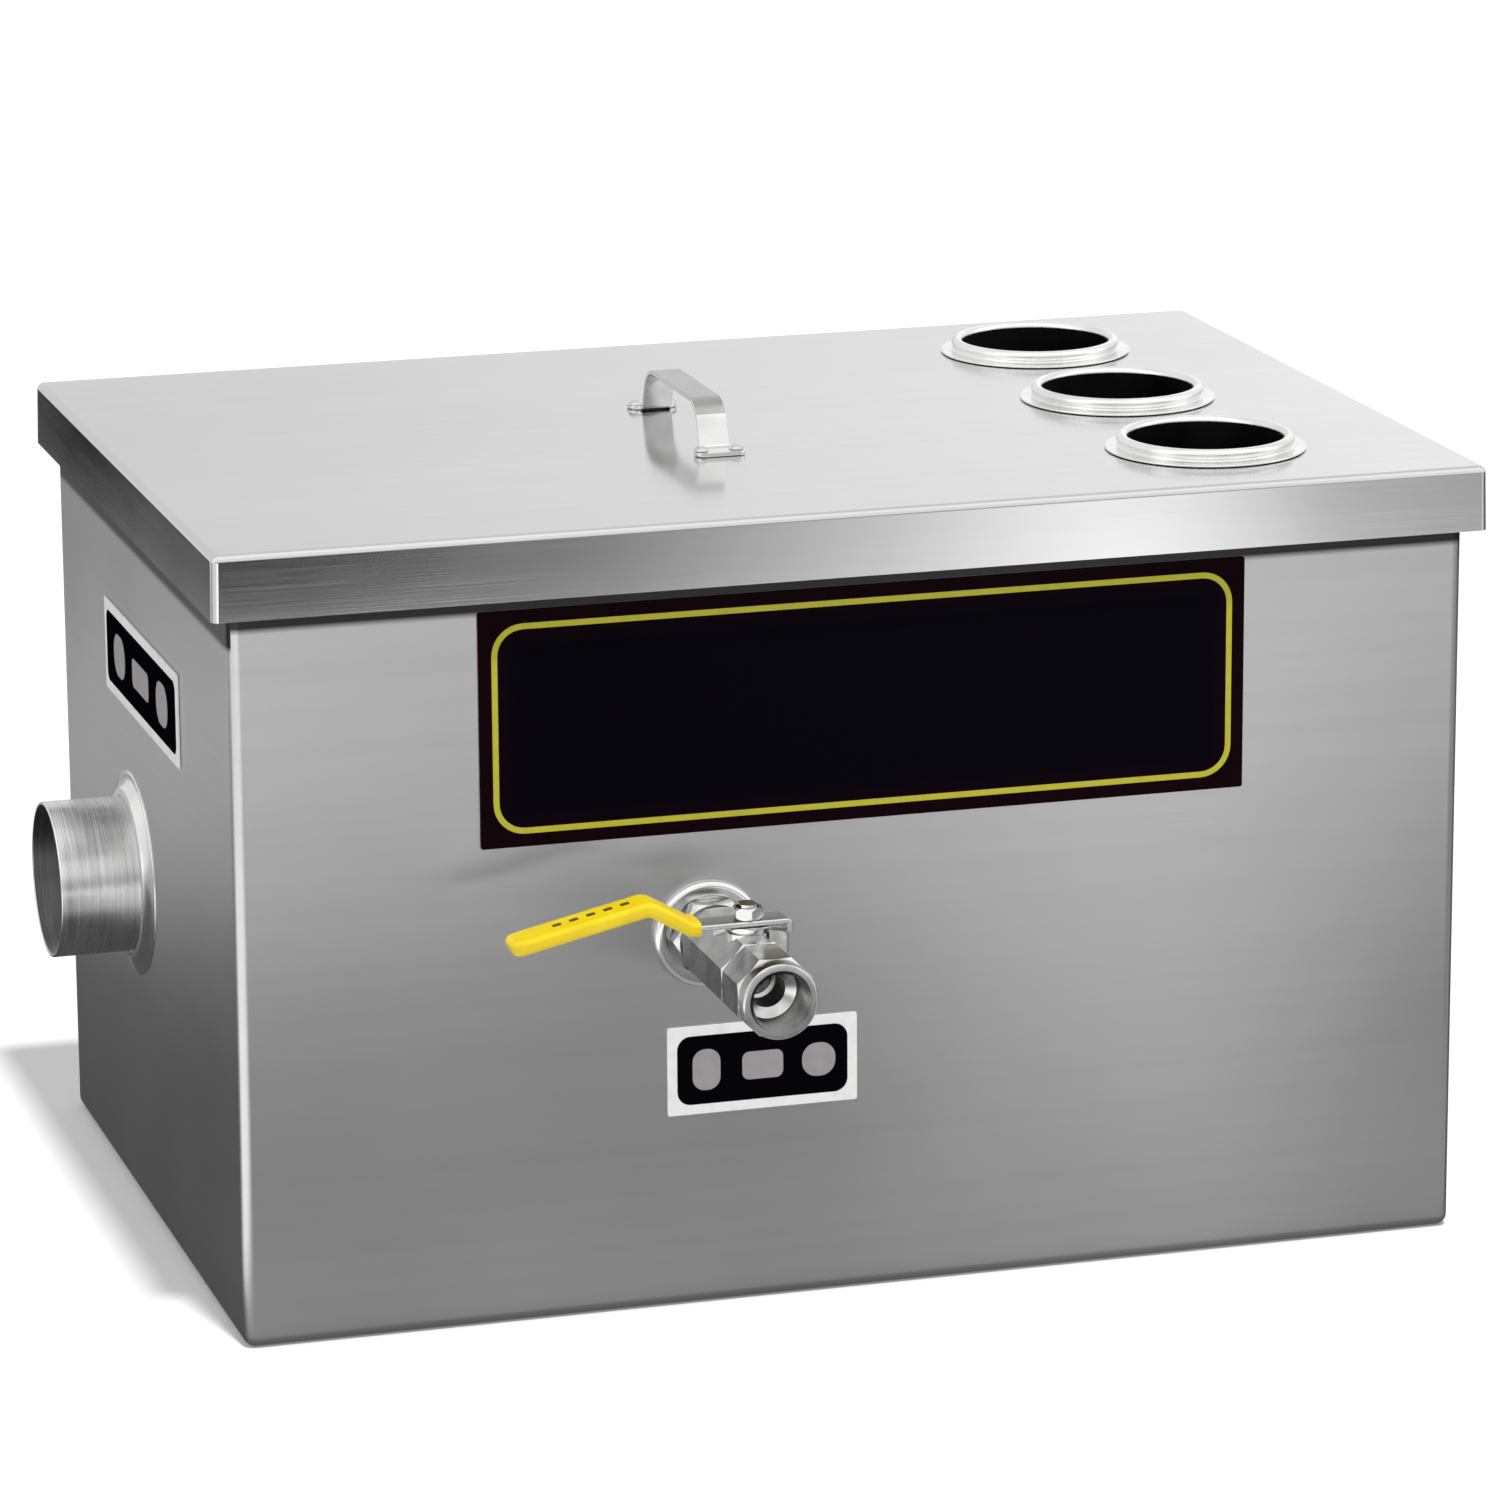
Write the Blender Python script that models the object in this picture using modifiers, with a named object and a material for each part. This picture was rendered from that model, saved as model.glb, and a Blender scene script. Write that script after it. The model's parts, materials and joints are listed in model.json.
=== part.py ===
"""Stainless steel grease trap for a commercial kitchen sink: tank, loose lid with three hose
ports, strainer basket, two baffles, outlet pipe with a tee inside, and a skimming ball valve."""

import math

import bmesh
import bpy
from mathutils import Matrix, Vector

# The origin is the centre of the tank's underside, +X is the inlet end and -Y is the front.
TANK_LENGTH = 0.600
TANK_DEPTH = 0.400
OVERALL_HEIGHT = 0.380
TANK_SHEET = 0.0012
TANK_CORNER_RADIUS = 0.003
RIM_PROJECTION = 0.0060
RIM_LIP_DEPTH = 0.010
FOLD_STEPS = 2

# Touching pieces are kept apart by this much
SEAT_GAP = 0.0003

# Lid, its seal, its handle and the rivets of the handle
LID_SHEET = 0.0010
LID_SKIRT_DEPTH = 0.031
LID_RIM_CLEARANCE = 0.0008
LID_CORNER_RADIUS = 0.0025
SEAL_THICKNESS = 0.004
HANDLE_X = -0.030
HANDLE_Y = -0.010
HANDLE_PAD_SPACING = 0.116
HANDLE_RISE = 0.0215
HANDLE_LEG_LEAN = 0.008
HANDLE_STRAP_WIDTH = 0.015
HANDLE_STRAP_SHEET = 0.0018
HANDLE_PAD_WIDTH = 0.025
HANDLE_PAD_DEPTH = 0.014
HANDLE_BEND_RADIUS = 0.003
HANDLE_SHOULDER_RADIUS = 0.015
RIVET_SPACING = 0.0175
RIVET_SHANK_RADIUS = 0.0020
RIVET_HEAD_RADIUS = 0.0036
RIVET_HEAD_HEIGHT = 0.0018
RIVET_TAIL_RADIUS = 0.0029
# The dome's outline, in shares of the head's radius and height
RIVET_DOME = ((0.0, 1.0), (0.55, 0.85), (0.9, 0.45), (1.0, 0.0))

# Hose ports in the lid
PORT_COUNT = 3
PORT_SIDE_INSET = 0.074
PORT_INSET = 0.1035
PORT_BORE_RADIUS = 0.0375
PORT_WALL = 0.0012
PORT_BEAD_RADIUS = 0.0027
PORT_BEAD_HEIGHT = 0.0047
PORT_FLANGE_RADIUS = 0.0485
PORT_FLANGE_THICKNESS = 0.0010
PORT_SPIGOT_DEPTH = 0.018

# Strainer basket under the ports, its ledges and its wire grips
BASKET_SHEET = 0.0012
BASKET_DEPTH = 0.155
BASKET_RIM_WIDTH = 0.012
BASKET_END_CLEARANCE = 0.012
BASKET_CORNER_RADIUS = 0.006
LEDGE_DROP = 0.0344
LEDGE_LEG = 0.016
LEDGE_SHEET = 0.0020
SLOT_WIDTH = 0.006
FLOOR_SLOT_LENGTH = 0.036
FLOOR_SLOT_PITCH_X = 0.044
FLOOR_SLOT_PITCH_Y = 0.023
WALL_SLOT_LENGTH = 0.080
WALL_SLOT_PITCH = 0.026
SLOT_EDGE_MARGIN = 0.012
GRIP_WIRE_RADIUS = 0.0020
GRIP_WIDTH = 0.070
GRIP_RISE = 0.024
GRIP_LEG_BELOW_RIM = 0.034
GRIP_BEND_RADIUS = 0.009

# Baffles and the channels that they slide in
INLET_BAFFLE_X = 0.105
OUTLET_BAFFLE_X = -0.190
BAFFLE_SHEET = 0.0015
BAFFLE_UNDERFLOW = 0.070
BAFFLE_TOP_FOLD = 0.016
CHANNEL_DROP = 0.0494
CHANNEL_SHEET = 0.0012
CHANNEL_INNER_WIDTH = 0.0045
CHANNEL_LEG = 0.011
CHANNEL_START = 0.060
BAFFLE_SIDE_PLAY = 0.0008

# Outlet pipe through the left wall, its ring outside and its tee inside
OUTLET_Y = 0.0275
OUTLET_Z = 0.170
OUTLET_RADIUS = 0.038
OUTLET_WALL = 0.0015
OUTLET_REACH = 0.0445
OUTLET_INSIDE = 0.0155
OUTLET_RING_RADIUS = 0.050
OUTLET_RING_HEIGHT = 0.0055
# The ring's upper outline, in shares of its width from the pipe and of its height
OUTLET_RING_SLOPE = ((0.1, 1.0), (0.45, 0.75), (0.85, 0.45), (1.0, 0.25))
TEE_WALL = 0.0015
TEE_RUN_BORE_RADIUS = 0.040
TEE_RUN_DISTANCE = 0.055
TEE_BRANCH_WALL = 0.0012
TEE_BRANCH_ROOT = 0.003
TEE_FOOT = 0.062
TEE_TOP = 0.250

# Skimming valve on the front wall, with distances counted outwards from the wall's face
VALVE_X = -0.076
VALVE_Z = 0.182
THREAD_RADIUS = 0.0132
NIPPLE_BORE_RADIUS = 0.0095
NIPPLE_END = 0.034
NIPPLE_HEX_FLATS = 0.034
NIPPLE_HEX_LENGTH = 0.010
WALL_RING_RADIUS = 0.026
WALL_RING_THICKNESS = 0.0045
WALL_RING_EDGE_RADIUS = 0.0032
WALL_RING_DISH_RADIUS = 0.0185
WALL_RING_DISH_DEPTH = 0.0012
BULKHEAD_GASKET_RADIUS = 0.024
BULKHEAD_GASKET_THICKNESS = 0.003
LOCKNUT_FLATS = 0.036
LOCKNUT_LENGTH = 0.008
NIPPLE_TAIL = 0.004
BODY_START = 0.022
BODY_END = 0.086
BODY_FLATS = 0.036
CAP_END = 0.112
MOUTH_END = 0.120
MOUTH_RADIUS = 0.0178
MOUTH_THREAD_DEPTH = 0.020
MOUTH_TAPER = 0.002
PORT_IN_VALVE_RADIUS = 0.0085
CHAMBER_RADIUS = 0.0149
BALL_RADIUS = 0.013
SEAT_DEPTH = 0.0150
SEAT_CONTACT_RADIUS = 0.0112
SOCKET_DEPTH = 0.0145
BODY_CHAMFER = 0.0012
NUT_CHAMFER = 0.0008
SMALL_NUT_CHAMFER = 0.0005

# Stem, gland and lever, with heights counted up from the valve's axis
STEM_DISTANCE = 0.067
STEM_RADIUS = 0.0050
STEM_FLATS = 0.0076
STEM_ABOVE_NUT = 0.0015
TANG_WIDTH = 0.0040
TANG_LENGTH = 0.0090
TANG_DEPTH = 0.0030
NECK_RADIUS = 0.0105
NECK_TOP = 0.0195
PACKING_RADIUS = 0.0078
PACKING_HEIGHT = 0.0028
GLAND_FLATS = 0.018
GLAND_HEIGHT = 0.0025
LEVER_THICKNESS = 0.0025
LEVER_WIDTH = 0.014
LEVER_TAB_REACH = 0.0183
LEVER_TAB_CLEARANCE = 0.0008
LEVER_FLAT_REACH = 0.028
LEVER_BEND_RADIUS = 0.006
LEVER_BEND_REACH = 0.048
LEVER_BEND_RISE = 0.0115
LEVER_LENGTH = 0.107
LEVER_DROOP_DEGREES = 12.5
LEVER_NUT_FLATS = 0.013
LEVER_NUT_HEIGHT = 0.0055
STOP_EAR_WIDTH = 0.005
STOP_EAR_REACH = 0.019
CASTING_ROOT = 0.008
SLEEVE_START = 0.0245
SLEEVE_END = 0.1125
SLEEVE_WIDTH = 0.019
SLEEVE_THICKNESS = 0.0070
SLEEVE_CORNER_RADIUS = 0.0025

# Plates stuck on the walls. A centre is its place along the wall and its height above the floor,
# and the front panel fills the height between the valve's wall ring and the lid's skirt
PLATE_THICKNESS = 0.0008
PLATE_CORNER_RADIUS = 0.002
PANEL_X = 0.0025
PANEL_LENGTH = 0.373
PANEL_LID_CLEARANCE = 0.006
PANEL_VALVE_CLEARANCE = 0.023
VALVE_LABEL_CENTRE = (-0.0495, 0.1155)
VALVE_LABEL_SIZE = (0.093, 0.043)
SIDE_LABEL_CENTRE = (-0.002, 0.2735)
SIDE_LABEL_SIZE = (0.172, 0.046)

# Facets round a circle
FINE_FACETS = 36
SMALL_FACETS = 24
RIVET_FACETS = 12
SLOT_FACETS = 8

# How far a cutter runs past what it cuts, and how far two joined forms run into each other
CUTTER_OVERRUN = 0.004
JOIN_OVERLAP = 0.003

# Sizes that follow from the ones above
HALF_LENGTH = TANK_LENGTH / 2
HALF_DEPTH = TANK_DEPTH / 2
LEFT_WALL_X = -HALF_LENGTH
FRONT_WALL_Y = -HALF_DEPTH
LID_OVERHANG = RIM_PROJECTION + TANK_SHEET + LID_RIM_CLEARANCE + LID_SHEET
LID_UNDERSIDE = OVERALL_HEIGHT - LID_SHEET
RIM_TOP = LID_UNDERSIDE - SEAL_THICKNESS - 2 * SEAT_GAP
LEDGE_TOP = RIM_TOP - LEDGE_DROP
CHANNEL_TOP = RIM_TOP - CHANNEL_DROP
BASKET_BASE_HEIGHT = LEDGE_TOP - BASKET_DEPTH
PANEL_BOTTOM = VALVE_Z + WALL_RING_RADIUS + PANEL_VALVE_CLEARANCE
PANEL_TOP = OVERALL_HEIGHT - LID_SKIRT_DEPTH - PANEL_LID_CLEARANCE
PANEL_CENTRE = (PANEL_X, (PANEL_BOTTOM + PANEL_TOP) / 2)
PANEL_SIZE = (PANEL_LENGTH, PANEL_TOP - PANEL_BOTTOM)
PORT_X = HALF_LENGTH - PORT_INSET
LEVER_UNDERSIDE = NECK_TOP + GLAND_HEIGHT + 2 * SEAT_GAP
LEVER_MID = LEVER_UNDERSIDE + LEVER_THICKNESS / 2
LEVER_TOP = LEVER_UNDERSIDE + LEVER_THICKNESS

# Turns that point a piece's own +Z out of the front wall, out of the left wall and along +X
OUT_OF_FRONT = (math.pi / 2, 0.0, 0.0)
OUT_OF_LEFT = (0.0, -math.pi / 2, 0.0)
ALONG_X = (math.pi / 2, 0.0, math.pi / 2)


def clear_scene():
    for old in list(bpy.data.objects):
        bpy.data.objects.remove(old, do_unlink=True)


def new_collection(name):
    collection = bpy.data.collections.new(name)
    bpy.context.scene.collection.children.link(collection)
    return collection


clear_scene()
PARTS = new_collection("grease_trap")
CUTTERS = new_collection("grease_trap_cutters")


def finish(name, colour, roughness, metallic):
    """The material of that name, made once."""
    known = bpy.data.materials.get(name)
    if known:
        return known
    made = bpy.data.materials.new(name)
    made.use_nodes = True
    shader = made.node_tree.nodes["Principled BSDF"]
    shader.inputs["Base Color"].default_value = (*colour, 1.0)
    shader.inputs["Roughness"].default_value = roughness
    shader.inputs["Metallic"].default_value = metallic
    return made


def sheet_steel():
    return finish("sheet_steel", (0.60, 0.60, 0.59), 0.36, 1.0)


def pipe_steel():
    return finish("pipe_steel", (0.60, 0.60, 0.59), 0.30, 1.0)


def polished_steel():
    return finish("polished_steel", (0.80, 0.80, 0.80), 0.14, 1.0)


def cast_steel():
    return finish("cast_steel", (0.66, 0.66, 0.66), 0.26, 1.0)


def seal_rubber():
    return finish("seal_rubber", (0.03, 0.03, 0.03), 0.70, 0.0)


def seat_plastic():
    return finish("seat_plastic", (0.88, 0.88, 0.86), 0.45, 0.0)


def sleeve_vinyl():
    return finish("sleeve_vinyl", (0.92, 0.74, 0.01), 0.40, 0.0)


def black_plate():
    return finish("black_plate", (0.005, 0.003, 0.008), 0.30, 0.0)


def white_plate():
    return finish("white_plate", (0.82, 0.82, 0.82), 0.35, 0.0)


def solid(name, bm, material, parent=None, location=(0, 0, 0), rotation=(0, 0, 0)):
    """A named object of the trap, from a bmesh."""
    mesh = bpy.data.meshes.new(name)
    bm.to_mesh(mesh)
    bm.free()
    obj = bpy.data.objects.new(name, mesh)
    obj.location = location
    obj.rotation_euler = rotation
    obj.parent = parent
    mesh.materials.append(material)
    PARTS.objects.link(obj)
    return obj


def make_cutter(obj):
    """Turns an object into a helper for Booleans, which is not part of the trap."""
    for holder in list(obj.users_collection):
        holder.objects.unlink(obj)
    CUTTERS.objects.link(obj)
    obj.hide_render = True
    obj.display_type = "WIRE"
    return obj


def helper(name, bm, parent=None, location=(0, 0, 0), rotation=(0, 0, 0)):
    return make_cutter(solid(name, bm, sheet_steel(), parent, location, rotation))


def boolean(obj, other, operation):
    modifier = obj.modifiers.new(other.name, "BOOLEAN")
    modifier.operation = operation
    modifier.solver = "EXACT"
    modifier.object = other


def cut(obj, *others):
    for other in others:
        boolean(obj, other, "DIFFERENCE")


def join(obj, *others):
    for other in others:
        boolean(obj, other, "UNION")


def settle_round(obj, sharp_degrees=35):
    """Keeps the evaluated form as the mesh and shades it smooth between its sharp edges."""
    bpy.context.view_layer.update()
    evaluated = obj.evaluated_get(bpy.context.evaluated_depsgraph_get())
    mesh = bpy.data.meshes.new_from_object(evaluated)
    obj.modifiers.clear()
    obj.data = mesh
    mesh.shade_smooth()
    mesh.set_sharp_from_angle(angle=math.radians(sharp_degrees))
    return obj


def box(low, high, edge_radius=0.0, edge_axis=2, steps=FOLD_STEPS):
    """A box between two corners, with the edges along one axis rounded."""
    low = Vector(low)
    high = Vector(high)
    bm = bmesh.new()
    matrix = Matrix.Translation((low + high) / 2) @ Matrix.Diagonal((*(high - low), 1.0))
    bmesh.ops.create_cube(bm, size=1.0, matrix=matrix)
    if edge_radius:
        edges = [e for e in bm.edges if runs_along(e, edge_axis)]
        bmesh.ops.bevel(bm, geom=edges, offset=edge_radius, segments=steps, profile=0.5, affect="EDGES")
    return bm


def runs_along(edge, axis):
    span = edge.verts[1].co - edge.verts[0].co
    return abs(span[axis]) > 0.999 * span.length


def prism(across_flats, sides, start, end, chamfer=0.0):
    """A bar of regular section along Z, with one flat towards +Y."""
    radius = across_flats / 2 / math.cos(math.pi / sides)
    bm = round_bar(radius, start, end, sides, turn=math.pi / sides)
    if chamfer:
        edges = [e for e in bm.edges if not runs_along(e, 2)]
        bmesh.ops.bevel(bm, geom=edges, offset=chamfer, segments=1, profile=0.5, affect="EDGES")
    return bm


def round_bar(radius, start, end, facets=SMALL_FACETS, turn=0.0):
    """A cylinder along Z."""
    bm = bmesh.new()
    matrix = Matrix.Translation((0, 0, (start + end) / 2)) @ Matrix.Rotation(turn, 4, "Z")
    bmesh.ops.create_cone(
        bm, cap_ends=True, segments=facets, radius1=radius, radius2=radius, depth=end - start, matrix=matrix
    )
    return bm


def turned(
    name, profile, material, facets=SMALL_FACETS, parent=None, location=(0, 0, 0), rotation=(0, 0, 0)
):
    """A turned piece about its Z. The (radius, height) profile runs down its outer side.

    A profile that leaves the axis alone is closed, and makes a ring."""
    bm = bmesh.new()
    verts = [bm.verts.new((radius, 0.0, height)) for radius, height in profile]
    pairs = list(zip(verts, verts[1:]))
    if min(radius for radius, height in profile) > 0:
        pairs.append((verts[-1], verts[0]))
    for pair in pairs:
        bm.edges.new(pair)
    obj = solid(name, bm, material, parent, location, rotation)
    screw = obj.modifiers.new("Turn", "SCREW")
    screw.axis = "Z"
    screw.angle = math.tau
    screw.steps = facets
    screw.render_steps = facets
    screw.use_merge_vertices = True
    screw.merge_threshold = 0.00001
    return settle_round(obj)


def ring_profile(outer, inner, start, end):
    return [(outer, end), (outer, start), (inner, start), (inner, end)]


def arc(centre, radius, first, last, steps):
    """Points on an arc in the plane of a profile, with angles in degrees from its first axis."""
    points = []
    for step in range(steps + 1):
        angle = math.radians(first + (last - first) * step / steps)
        points.append((centre[0] + radius * math.cos(angle), centre[1] + radius * math.sin(angle)))
    return points


def filleted(points, radius, steps=FOLD_STEPS):
    """An open run of 2D points whose inner corners are rounded to that radius."""
    result = [points[0]]
    for before, corner, after in zip(points, points[1:], points[2:]):
        corner = Vector(corner)
        to_before = (Vector(before) - corner).normalized()
        to_after = (Vector(after) - corner).normalized()
        half = to_before.angle(to_after) / 2
        reach = radius / math.tan(half)
        middle = corner + (to_before + to_after).normalized() * radius / math.sin(half)
        start = corner + to_before * reach - middle
        end = corner + to_after * reach - middle
        for step in range(steps + 1):
            spoke = start.lerp(end, step / steps).normalized() * radius
            result.append(tuple(middle + spoke))
    result.append(points[-1])
    return result


def add_sheet_thickness(obj, sheet, offset):
    solidify = obj.modifiers.new("Sheet", "SOLIDIFY")
    solidify.thickness = sheet
    solidify.offset = offset
    solidify.use_even_offset = True


def folded_sheet(name, section, start, end, sheet, material, location=(0, 0, 0), rotation=(0, 0, 0)):
    """Sheet metal whose mid-line is the XY section, running along Z from start to end."""
    bm = bmesh.new()
    verts = [bm.verts.new((x, y, start)) for x, y in section]
    edges = [bm.edges.new(pair) for pair in zip(verts, verts[1:])]
    swept = bmesh.ops.extrude_edge_only(bm, edges=edges)["geom"]
    moved = [item for item in swept if isinstance(item, bmesh.types.BMVert)]
    bmesh.ops.translate(bm, vec=(0, 0, end - start), verts=moved)
    obj = solid(name, bm, material, None, location, rotation)
    add_sheet_thickness(obj, sheet, 0.0)
    return obj


def push_out(verts, half_x, half_y, corner_radius, distance):
    """Moves the verts of a rounded rectangle outwards, so that its corners stay round."""
    for vert in verts:
        centre = Vector(
            (
                math.copysign(half_x - corner_radius, vert.co.x),
                math.copysign(half_y - corner_radius, vert.co.y),
            )
        )
        vert.co.xy += (vert.co.xy - centre).normalized() * distance


def extrude_boundary(bm):
    edges = [e for e in bm.edges if e.is_boundary]
    swept = bmesh.ops.extrude_edge_only(bm, edges=edges)["geom"]
    return [item for item in swept if isinstance(item, bmesh.types.BMVert)]


def box_shell(
    name, half_x, half_y, bottom, top, corner_radius, sheet, material, open_end="top", rim=0.0, lip=0.0
):
    """A folded and welded box of sheet, open at one end. The sheet lies inside the given sizes.

    A rim turns outwards at the open top, and a lip turns down from the rim."""
    bm = bmesh.new()
    reach = top - sheet if rim else top
    matrix = Matrix.Translation((0, 0, (bottom + reach) / 2))
    matrix @= Matrix.Diagonal((2 * half_x, 2 * half_y, reach - bottom, 1.0))
    bmesh.ops.create_cube(bm, size=1.0, matrix=matrix)
    side = 1 if open_end == "top" else -1
    bmesh.ops.delete(bm, geom=[f for f in bm.faces if f.normal.z * side > 0.9], context="FACES_ONLY")
    folds = [e for e in bm.edges if not e.is_boundary]
    bmesh.ops.bevel(bm, geom=folds, offset=corner_radius, segments=FOLD_STEPS, profile=0.5, affect="EDGES")
    if rim:
        push_out(extrude_boundary(bm), half_x, half_y, corner_radius, rim)
    if lip:
        bmesh.ops.translate(bm, vec=(0, 0, -lip), verts=extrude_boundary(bm))
    obj = solid(name, bm, material)
    add_sheet_thickness(obj, sheet, -1.0)
    return obj


def make_tank():
    """Five walls folded and welded from one sheet, with an out-turned and down-turned rim."""
    tank = box_shell(
        "tank",
        HALF_LENGTH,
        HALF_DEPTH,
        0.0,
        RIM_TOP,
        TANK_CORNER_RADIUS,
        TANK_SHEET,
        sheet_steel(),
        rim=RIM_PROJECTION,
        lip=RIM_LIP_DEPTH - TANK_SHEET,
    )
    reach = TANK_SHEET + CUTTER_OVERRUN
    outlet_hole = helper(
        "outlet_hole",
        round_bar(OUTLET_RADIUS + SEAT_GAP, -reach, CUTTER_OVERRUN, FINE_FACETS),
        location=(LEFT_WALL_X, OUTLET_Y, OUTLET_Z),
        rotation=OUT_OF_LEFT,
    )
    valve_hole = helper(
        "valve_hole",
        round_bar(THREAD_RADIUS + SEAT_GAP, -reach, CUTTER_OVERRUN, SMALL_FACETS),
        location=(VALVE_X, FRONT_WALL_Y, VALVE_Z),
        rotation=OUT_OF_FRONT,
    )
    cut(tank, outlet_hole, valve_hole)


def port_places():
    """Centres of the hose ports, from the front to the rear."""
    first = -HALF_DEPTH + PORT_SIDE_INSET
    pitch = -2 * first / (PORT_COUNT - 1)
    return [(PORT_X, first + pitch * index) for index in range(PORT_COUNT)]


def rivet_places():
    places = []
    for side_y in (-1, 1):
        for side_x in (-1, 1):
            x = HANDLE_X + side_x * RIVET_SPACING / 2
            y = HANDLE_Y + side_y * HANDLE_PAD_SPACING / 2
            places.append((x, y))
    return places


def merged(pieces):
    """One bmesh that holds several."""
    total = bmesh.new()
    for piece in pieces:
        mesh = bpy.data.meshes.new("piece")
        piece.to_mesh(mesh)
        piece.free()
        total.from_mesh(mesh)
        bpy.data.meshes.remove(mesh)
    return total


def holes_through(places, radius, low, high, facets):
    """Upright cutters at several places."""
    bars = []
    for x, y in places:
        bar = round_bar(radius, low, high, facets)
        bmesh.ops.translate(bar, vec=(x, y, 0), verts=bar.verts)
        bars.append(bar)
    return merged(bars)


def make_lid():
    """A shallow tray of sheet turned upside down over the rim, with its port and rivet holes."""
    lid = box_shell(
        "lid",
        HALF_LENGTH + LID_OVERHANG,
        HALF_DEPTH + LID_OVERHANG,
        OVERALL_HEIGHT - LID_SKIRT_DEPTH,
        OVERALL_HEIGHT,
        LID_CORNER_RADIUS,
        LID_SHEET,
        sheet_steel(),
        open_end="bottom",
    )
    low = LID_UNDERSIDE - CUTTER_OVERRUN
    high = OVERALL_HEIGHT + CUTTER_OVERRUN
    spigot = PORT_BORE_RADIUS + PORT_WALL + SEAT_GAP
    port_holes = helper("port_holes", holes_through(port_places(), spigot, low, high, FINE_FACETS))
    shank = RIVET_SHANK_RADIUS + SEAT_GAP
    rivet_holes = holes_through(rivet_places(), shank, low, high, RIVET_FACETS)
    lid_rivet_holes = helper("lid_rivet_holes", rivet_holes)
    cut(lid, port_holes, lid_rivet_holes)


def make_lid_seal():
    """A rubber frame between the tank's rim and the lid."""
    low = RIM_TOP + SEAT_GAP
    high = low + SEAL_THICKNESS
    half_x = HALF_LENGTH + RIM_PROJECTION
    half_y = HALF_DEPTH + RIM_PROJECTION
    outer_radius = TANK_CORNER_RADIUS + RIM_PROJECTION
    frame = box((-half_x, -half_y, low), (half_x, half_y, high), outer_radius)
    seal = solid("lid_seal", frame, seal_rubber())
    inner_x = HALF_LENGTH - TANK_SHEET
    inner_y = HALF_DEPTH - TANK_SHEET
    low -= CUTTER_OVERRUN
    high += CUTTER_OVERRUN
    inner = box((-inner_x, -inner_y, low), (inner_x, inner_y, high), TANK_CORNER_RADIUS)
    cut(seal, helper("seal_opening", inner))


def handle_path():
    """Mid-line of the strap along Y and up, from the front pad to the rear pad."""
    pad_outer = HANDLE_PAD_SPACING / 2 + HANDLE_PAD_DEPTH / 2
    leg = HANDLE_PAD_SPACING / 2 - HANDLE_PAD_DEPTH / 2
    shoulder = (HANDLE_LEG_LEAN - leg, HANDLE_RISE)
    middle = (HANDLE_LEG_LEAN / 2 - leg, HANDLE_RISE / 2)
    low = filleted([(-pad_outer, 0.0), (-leg, 0.0), middle], HANDLE_BEND_RADIUS, 3)
    high = filleted([middle, shoulder, (0.0, HANDLE_RISE)], HANDLE_SHOULDER_RADIUS, 6)
    half = low[:-1] + high[1:-1]
    return half + [(-y, z) for y, z in reversed(half)]


def make_handle():
    """A bow handle pressed from strap, with a wider riveted pad at each end."""
    pad_inner = HANDLE_PAD_SPACING / 2 - HANDLE_PAD_DEPTH / 2 + HANDLE_BEND_RADIUS
    bm = bmesh.new()
    rows = []
    for y, z in handle_path():
        on_pad = z == 0.0 and abs(y) > pad_inner
        half_width = (HANDLE_PAD_WIDTH if on_pad else HANDLE_STRAP_WIDTH) / 2
        rows.append([bm.verts.new((side * half_width, y, z)) for side in (-1, 1)])
    for (left, right), (next_left, next_right) in zip(rows, rows[1:]):
        bm.faces.new((left, right, next_right, next_left))
    base = OVERALL_HEIGHT + SEAT_GAP + HANDLE_STRAP_SHEET / 2
    handle = solid("lid_handle", bm, polished_steel(), location=(HANDLE_X, HANDLE_Y, base))
    add_sheet_thickness(handle, HANDLE_STRAP_SHEET, 0.0)
    low = OVERALL_HEIGHT - CUTTER_OVERRUN
    high = OVERALL_HEIGHT + CUTTER_OVERRUN
    shank = RIVET_SHANK_RADIUS + SEAT_GAP
    holes = holes_through(rivet_places(), shank, low, high, RIVET_FACETS)
    cut(handle, helper("handle_rivet_holes", holes))
    settle_round(handle)


def make_rivets():
    """Blind rivets through the pads and the lid: a low dome above and a formed tail below."""
    seat = HANDLE_STRAP_SHEET + 2 * SEAT_GAP
    tail = -LID_SHEET - SEAT_GAP
    dome = [(RIVET_HEAD_RADIUS * r, seat + RIVET_HEAD_HEIGHT * z) for r, z in RIVET_DOME]
    shank = [(RIVET_SHANK_RADIUS, seat), (RIVET_SHANK_RADIUS, tail)]
    tail_end = tail - RIVET_HEAD_HEIGHT
    formed = [(RIVET_TAIL_RADIUS, tail), (RIVET_TAIL_RADIUS, tail_end), (0.0, tail_end)]
    for index, (x, y) in enumerate(rivet_places(), start=1):
        turned(
            f"handle_rivet_{index}",
            dome + shank + formed,
            polished_steel(),
            RIVET_FACETS,
            location=(x, y, OVERALL_HEIGHT),
        )


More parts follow.
